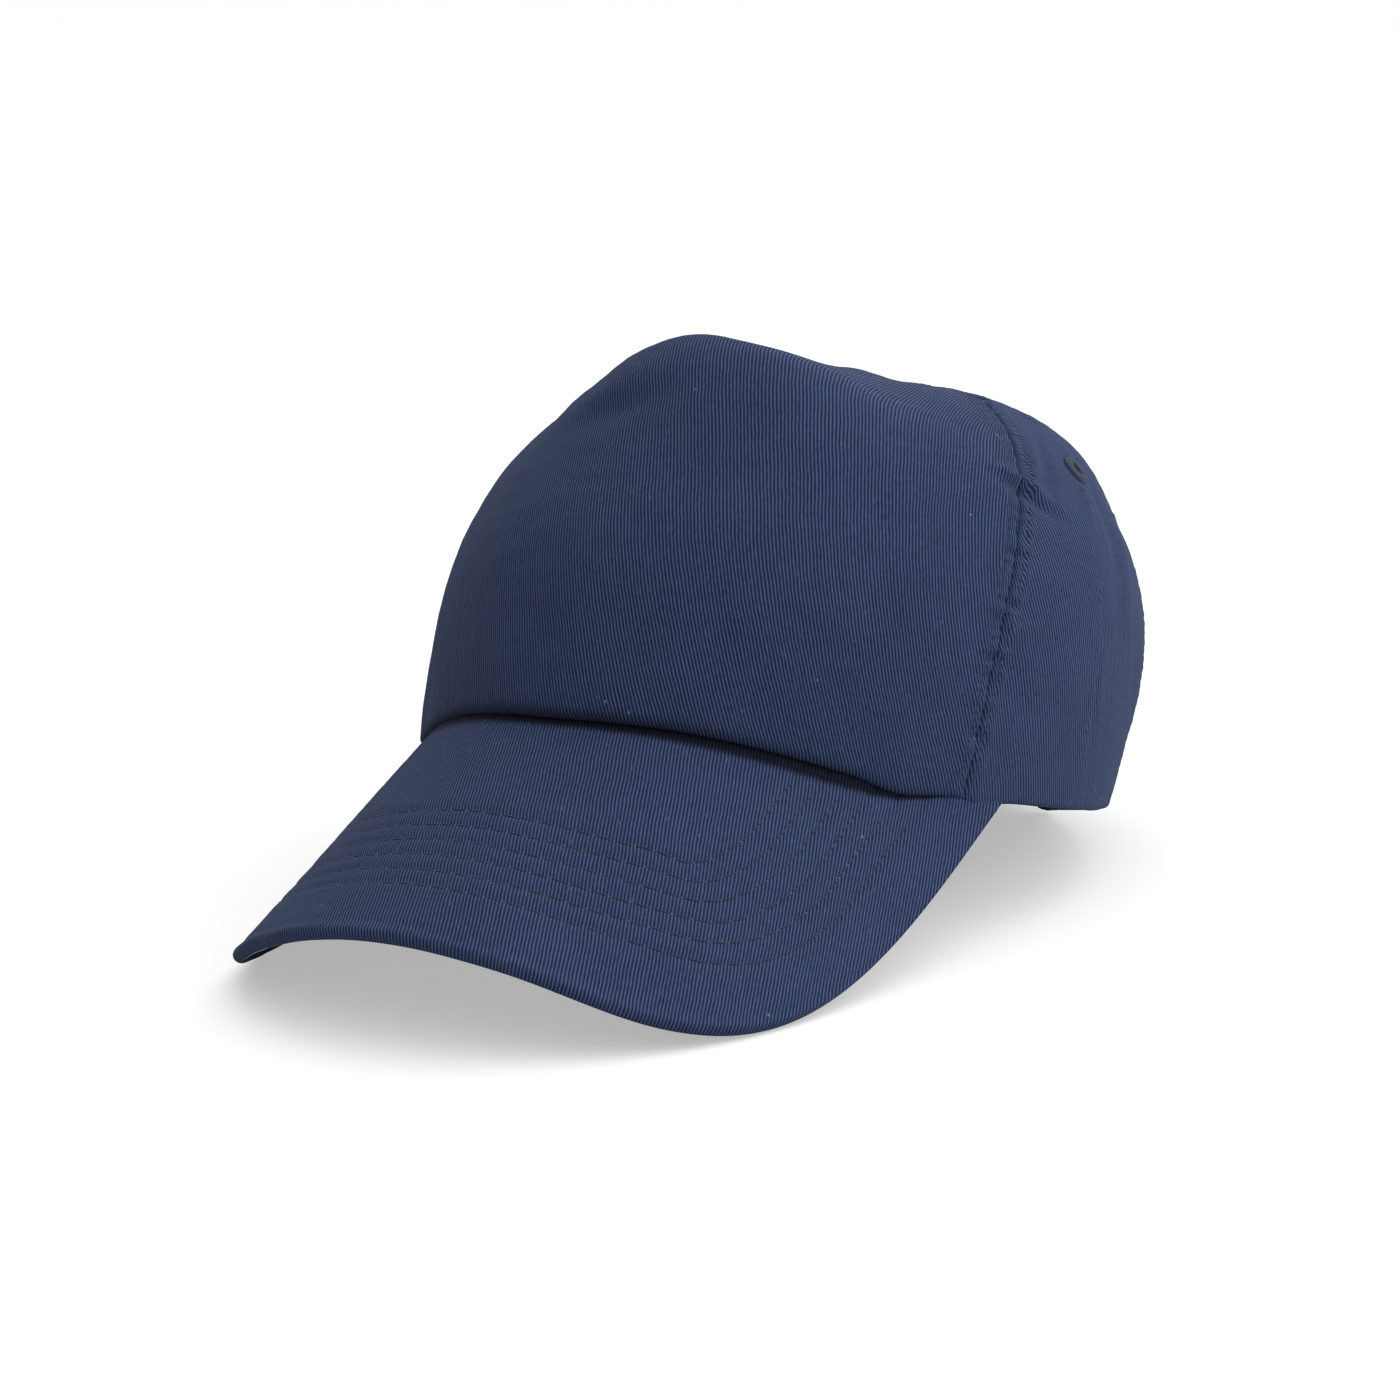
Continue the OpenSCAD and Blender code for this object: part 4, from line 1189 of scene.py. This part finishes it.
def button_cover():
    """Cloth cap over the button, gathered round its edge."""
    share = np.linspace(0, 1, 30)
    turn = (np.pi / 2 * share)[1:]
    skirt = np.array([(BUTTON_R - .02, 0.0), (BUTTON_R - .1, -.35), (BUTTON_R - .45, -.75),
                      (BUTTON_R - 1.2, -1.0), (BUTTON_R - 3, -.9)])
    radius = np.concatenate([(BUTTON_R - .1) * np.sin(turn) ** .92, skirt[:, 0]])[:, None]
    height = .2 + 2.75 * np.maximum(0, np.cos(turn)) ** .82
    height = np.concatenate([height, skirt[:, 1]])[:, None]
    gather = np.concatenate([smooth((share[1:] - .55) / .4), np.ones(len(skirt))])[:, None]
    around = np.arange(160) * 2 * np.pi / 160
    pleats = np.cos(15 * around + .6 * np.sin(3 * around))
    radius = radius + .13 * pleats * gather + .05 * np.sin(2 * around)
    height = height + .08 * np.sin(3 * around + 1) * gather
    verts = np.stack([radius * np.cos(around), APEX_Y + radius * np.sin(around),
                      BUTTON_Z + height], -1).reshape(-1, 3)
    verts = np.concatenate([[[0, APEX_Y, BUTTON_Z + 2.95]], verts,
                            [[0, APEX_Y, BUTTON_Z - .8]]])
    ids = 1 + np.arange(radius.size).reshape(radius.shape)
    turned = np.roll(ids, -1, 1)
    faces = ring_quads(ids).tolist()
    faces += [[0, int(here), int(after)] for here, after in zip(ids[0], turned[0])]
    faces += [[int(here), len(verts) - 1, int(after)] for here, after in zip(ids[-1], turned[-1])]
    add_piece("button_cover_cloth", (verts, faces, verts[:, :2] * 1.25), TWILL, "button_cover")


def button_cup():
    """Pressed metal cup inside the cloth cover."""
    turn = np.linspace(0, np.pi / 2, 16)

    def dome(radius, base, height, turn):
        return np.stack([np.maximum(.001, radius * np.sin(turn)), base + height * np.cos(turn)], -1)

    cup = np.concatenate([dome(BUTTON_R - 1.3, .1, 2.1, turn),
                          [(BUTTON_R - 1.5, -.25), (BUTTON_R - 1.9, -.2)],
                          dome(BUTTON_R - 1.8, -.05, 1.8, turn[::-1])])
    around = np.arange(96) * 2 * np.pi / 96
    verts = np.stack([cup[:, :1] * np.cos(around), APEX_Y + cup[:, :1] * np.sin(around),
                      BUTTON_Z + cup[:, 1:] + 0 * around], -1).reshape(-1, 3)
    ids = np.arange(len(verts)).reshape(len(cup), -1)
    faces = ring_quads(ids).tolist() + [ids[0].tolist()[::-1], ids[-1].tolist()]
    add_piece("button_cup", (verts, faces, verts[:, :2]), STEEL, "button_shell")


button_cover()
button_cup()

# ---------------------------------------------------------------- eyelets
# section: radius, height over the crown, strength of the thread ridges
EYELET = np.array([
    (1.62, -.25, .3), (1.66, .25, .6), (1.95, .62, 1), (2.5, .82, 1), (3.1, .78, 1),
    (3.7, .55, 1), (4.08, .22, .8), (4.2, -.1, .3), (3.9, -.3, 0), (2.35, -.3, 0),
    (2.35, -CLOTH + .2, 0), (3.9, -CLOTH + .1, 0), (4.15, -CLOTH - .15, .3),
    (3.8, -CLOTH - .5, 1), (2.9, -CLOTH - .62, 1), (2.0, -CLOTH - .52, 1),
    (1.65, -CLOTH - .1, .5)])
EYELET_THREADS = 46


def eyelet(ang, seed):
    around = (np.arange(264) * 2 * np.pi / 264)[:, None]
    start = np.random.default_rng(seed).uniform(0, 6)
    radius, height, ridge = EYELET.T[:, None]
    strands = np.abs(np.cos(EYELET_THREADS / 2 * around + .25 * np.sin(5 * around))) ** .7
    uneven = (.10 * np.sin(4 * around + start)
              + .12 * np.sin(EYELET_THREADS * around * .5 + 1) * .6)
    reach = radius + uneven * (radius > 3.5)
    level = height + .20 * (strands - .6) * ridge * np.where(height > -CLOTH / 2, 1, -1)
    normal = crown_normal(ang, EYE_RISE)
    x = unit(np.cross([0, 0, 1.], normal))
    y = np.cross(normal, x)
    verts = (cloth_at(ang, EYE_RISE) + (reach * np.cos(around))[..., None] * x
             + (reach * np.sin(around))[..., None] * y + level[..., None] * normal)
    ids = np.arange(reach.size).reshape(reach.shape)
    after = np.roll(ids, -1, 0)
    faces = np.stack([ids, np.roll(ids, -1, 1), np.roll(after, -1, 1), after], -1)
    uv = np.stack(np.broadcast_arrays(radius, around * 3), -1)
    return verts.reshape(-1, 3), faces.reshape(-1, 4).tolist(), uv.reshape(-1, 2)


for seed, (where, ang) in enumerate(EYES.items(), 1):
    add_piece(where + "_eyelet_sewn", eyelet(ang, seed), EYE_THREAD, where + "_eyelet")


# ---------------------------------------------------------------- back straps
def strap_at(ang, height, depth):
    """A point in the straps' ring; height goes from 0 to 1 over the strap's width."""
    return mix(cloth_at(ang, .02, depth), cloth_at(ang, .13, depth),
               np.asarray(height)[..., None])


def outward(pts):
    return unit(np.stack([pts[..., 0], pts[..., 1] - APEX_Y, 0 * pts[..., 0]], -1))


def strap(root, side, depth, tuck):
    """Folded strap from root degrees to STRAP_PAST beyond the middle; its two faces too."""
    count = int(110 / COARSE)
    height = np.linspace(0, 1, 25)[None]
    edge = np.abs(2 * height - 1)
    corner = 2.6 * (1 - np.sqrt(np.maximum(0, 1 - ((edge - .55) / .45) ** 2)))
    tip = -STRAP_PAST + np.where(edge > .55, corner, 0)
    share = np.linspace(0, 1, count)[:, None]
    place = root + (tip - root) * share
    push = 0
    if tuck is not None:   # sinks under the crown cloth past the opening's edge
        rise = np.minimum(.02 + .11 * height, ARCH_RISE)
        opening = ARCH_HALF * np.maximum(0, 1 - (rise / ARCH_RISE) ** 2) ** (1 / 2.4) - 1.0
        push = (tuck - depth) * smooth((place - (opening - 3.2)) / 3.2)
    bevel = np.maximum(.30 * np.maximum(0, (edge - .90) / .10) ** 2,
                       .30 * np.maximum(0, 1 - (1 - share) * count / 2.2) ** 2)
    run = share * (root + STRAP_PAST) * 1.5
    wave = .07 * waves(run, height * 17, seed=61 + side, count=6, short=6, long=20)
    groove = -.14 * bell((height - .10) * 17, .5) - .14 * bell((height - .90) * 17, .5)
    ang = 180 - side * place
    near = strap_at(ang, height, depth + push + bevel - wave - groove)
    far = strap_at(ang, height, depth + push + STRAP_THICK - bevel - wave * .5)
    uv = np.stack(np.broadcast_arrays(run, height * 17.5), -1)
    return shell(near[::side], far[::side], uv=uv[::side]), near, far


def strap_rows(face, side):
    """Stitch rows along both edges and across the tip."""
    rows, cols = face.shape[:2]
    paths = [face[:rows - 2, int(round(share * (cols - 1)))] for share in (.10, .90)]
    back = max(1, int(2.2 / (np.linalg.norm(face[1, 12] - face[0, 12]) + 1e-9)))
    paths.append(face[rows - 1 - back, int(.10 * (cols - 1)) + 1:int(.90 * (cols - 1))])
    lines = []
    for path in paths:
        run = arc(path, 0)
        path = along(np.linspace(0, run[-1], max(8, int(run[-1] / .5))), run, path)
        lines.append((path, outward(path) * side))
    return lines


# name, root angle, side of the root, depth, depth where tucked in, depth of the blend points
for name, root, side, depth, tuck, blend_depth in (
        ("outer_strap", 30.0, 1, .2, CLOTH + 1.12, .7),
        ("inner_strap", 28.2, -1, 2.3 + STRAP_THICK, None, 3.8)):
    data, near, far = strap(root, side, depth, tuck)
    cloth = add_piece(name + "_cloth", data, STRAP_TWILL, name, body=None, sharp=60)
    seams = stitches(strap_rows(near if side > 0 else far, side), "strap")
    sewn = add_piece(name + "_stitches", seams, SEAM_THREAD, body=None)
    ends = [Vector((rest(strap_at(180 - side * place, .5, blend_depth)) * .001).tolist())
            for place in (26.0, 20.5)]
    for piece in (cloth, sewn):
        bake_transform(piece)


def patch(start, end, near, far, rows, cols):
    """Rectangle of tape between two angles and two depths: its faces and uv."""
    ang = np.linspace(start, end, rows)[:, None]
    height = np.linspace(.06, .94, cols)[None]
    edge = np.maximum(np.abs(2 * (ang - start) / (end - start) - 1),
                      np.abs(2 * (height - .06) / .88 - 1))
    bevel = .3 * np.maximum(0, (edge - .92) / .08) ** 2
    uv = np.stack(np.broadcast_arrays((ang - start) * 1.5, height * 17.5), -1)
    return strap_at(ang, height, near + bevel), strap_at(ang, height, far - bevel), uv


def hook_patch():
    """Tape with rows of small plastic hooks standing towards the inside."""
    face, other, uv = patch(181, 180 + STRAP_PAST - .6, near=.3 + STRAP_THICK,
                            far=1.2 + STRAP_THICK - .45, rows=40, cols=18)
    parts = [shell(face, other, uv=uv)]
    foot_and_tip = np.array([1.2 + STRAP_THICK - .5, 1.2 + STRAP_THICK + .02])
    section = [(.07 * np.cos(k * 1.2566), .07 * np.sin(k * 1.2566)) for k in range(5)]
    bend = np.linspace(0, 1, 6)[:, None] * 2.2
    for i, ang in enumerate(np.arange(181.7, 180 + STRAP_PAST - 1.2, .72)):
        for j, height in enumerate(np.arange(.11, .90, .062)):
            foot, tip = strap_at(ang, height, foot_and_tip)
            normal = unit(tip - foot)
            side = unit(np.cross(normal, [0, 0, 1.])) * (1 if (i + j) % 2 else -1)
            path = foot + normal * (.50 * np.sin(bend)) + side * (.34 * (1 - np.cos(bend)))
            parts.append(tube(path, np.cross(side, normal), section))
    add_piece("hook_patch_tape", join(parts), HOOK, "hook_patch", body="outer_strap")


def loop_patch():
    """Fuzzy tape on the inner strap."""
    face, other, uv = patch(180 - STRAP_PAST + .6, 197, near=1.5 + STRAP_THICK,
                            far=2.2 + STRAP_THICK, rows=90, cols=44)
    fuzz = rng.normal(0, .09, face.shape[:2]) * (uv[..., 0] > .6)
    face = face + outward(face) * fuzz[..., None]
    add_piece("loop_patch_tape", shell(face, other, uv=uv), LOOP, "loop_patch",
              body="inner_strap", sharp=0)


def size_label():
    """Blank label hanging inside the back, sewn along its top."""
    low = ARCH_RISE + .125
    high = low + .20
    top = under(180, high, 2.9)
    normal = crown_normal(180, high)
    down = unit(under(180, low, 2.9) - top)
    sideways = np.array([1., 0, 0])
    x, y = np.meshgrid(np.linspace(14, -14, 41), np.linspace(4, 0, 33), indexing="ij")
    sag = .35 * y + .22 * np.sin(y / 4 * np.pi) + .10 * (x / 14) ** 2 * y / 4
    bevel = np.maximum(0, (np.abs(x) - 13.3) / .7) ** 2 * .12
    pts = top + x[..., None] * sideways + (y * 5.5)[..., None] * down - normal * sag[..., None]
    data = shell(pts - normal * bevel[..., None], pts - normal * (.42 - bevel)[..., None])
    add_piece("size_label_satin", data, LABEL, "size_label", body="size_label", sharp=60)
    line = top + np.linspace(-13, 13, 60)[:, None] * sideways + down * 1.6 - normal * .55
    seam = stitches([(line, np.broadcast_to(-normal, line.shape))], "label")
    add_piece("size_label_stitches", seam, SEAM_THREAD, body="size_label")


hook_patch()
loop_patch()
size_label()

for node, material in (("visor_board", BOARD_LOOK), ("button_rivet", BRASS)):
    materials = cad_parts[node].data.materials
    materials.clear()
    materials.append(material)


# ---------------------------------------------------------------- floor, light, camera (m)
def add_floor():
    """Pale paper, made a little brighter for the camera alone."""
    mesh = bpy.data.meshes.new("floor")
    half, z = 8, -.0002
    mesh.from_pydata([(-half, -half, z), (half, -half, z), (half, half, z), (-half, half, z)],
                     [], [(0, 1, 2, 3)])
    floor = bpy.data.objects.new("floor", mesh)
    bpy.context.scene.collection.objects.link(floor)
    net = material_net("floor_paper")
    mesh.materials.append(net.surface({
        "Base Color": (.62, .62, .625, 1), "Roughness": .95, "Specular IOR Level": .05,
        "Normal": net.bump(net.noise(net.place(), 900), .00002, .4),
        "Emission Strength": net.mul(net.camera_ray(), .42), "Emission Color": (1, 1, 1, 1)}))


def add_world():
    """Soft sky, stronger from above and from the wearer's left and back."""
    level, direction, darkest, seen = .49, (.70, .32, .65), .08, 1.1
    world = bpy.data.worlds.new("studio")
    bpy.context.scene.world = world
    net = Net(world)
    place = net.node("ShaderNodeTexCoord").outputs["Generated"]
    sky = net.math("MAXIMUM", net.add(net.dot(place, direction), level), darkest)
    pick = net.node("ShaderNodeMix", data_type="FLOAT")
    net.fill(pick, ((0, net.camera_ray()), (2, sky), (3, seen)))
    net.fill(net.tree.nodes["Background"], ((0, (1, 1, 1, 1)), (1, pick.outputs[0])))


# name, place, target, size, watts; left and right are as the camera sees them
LIGHTS = (
    ("overhead", (.25, .35, 1.6), (0, 0, .05), (1.6, 1.3), 4.5),
    ("right_fill", (1.25, 1.1, .36), (0, 0, .07), (.9, .9), 6.6),
    ("left_back", (-1.15, .9, 1.15), (0, 0, .05), (.8, .8), 3.4))


def add_lights():
    for name, place, target, size, watts in LIGHTS:
        light = bpy.data.lights.new(name, "AREA")
        light.shape = "RECTANGLE"
        light.size, light.size_y = size
        light.energy = watts
        lamp = bpy.data.objects.new(name, light)
        bpy.context.scene.collection.objects.link(lamp)
        lamp.location = place
        aim = Vector(target) - Vector(place)
        lamp.rotation_euler = aim.to_track_quat("-Z", "Y").to_euler()


# the camera's right, up and backward directions
CAMERA_AXES = ((0.845716, 0.531996, -0.041777), (-0.069295, 0.187107, 0.979892),
               (0.529115, -0.825816, 0.195104))


def add_camera():
    scene = bpy.context.scene
    camera = bpy.data.cameras.new("camera")
    holder = bpy.data.objects.new("camera", camera)
    scene.collection.objects.link(holder)
    camera.sensor_fit = "HORIZONTAL"
    camera.sensor_width = 36
    camera.lens = 105.867771
    camera.shift_x = -0.0096714286
    camera.shift_y = -0.050028571
    camera.clip_start = .05
    camera.clip_end = 60
    pose = Matrix(CAMERA_AXES).transposed().to_4x4()
    pose.translation = (.555319, -.860284, .273903)
    holder.matrix_world = pose
    scene.camera = holder
    scene.view_settings.view_transform = "Standard"
    scene.view_settings.look = "None"


add_floor()
add_world()
add_lights()
add_camera()
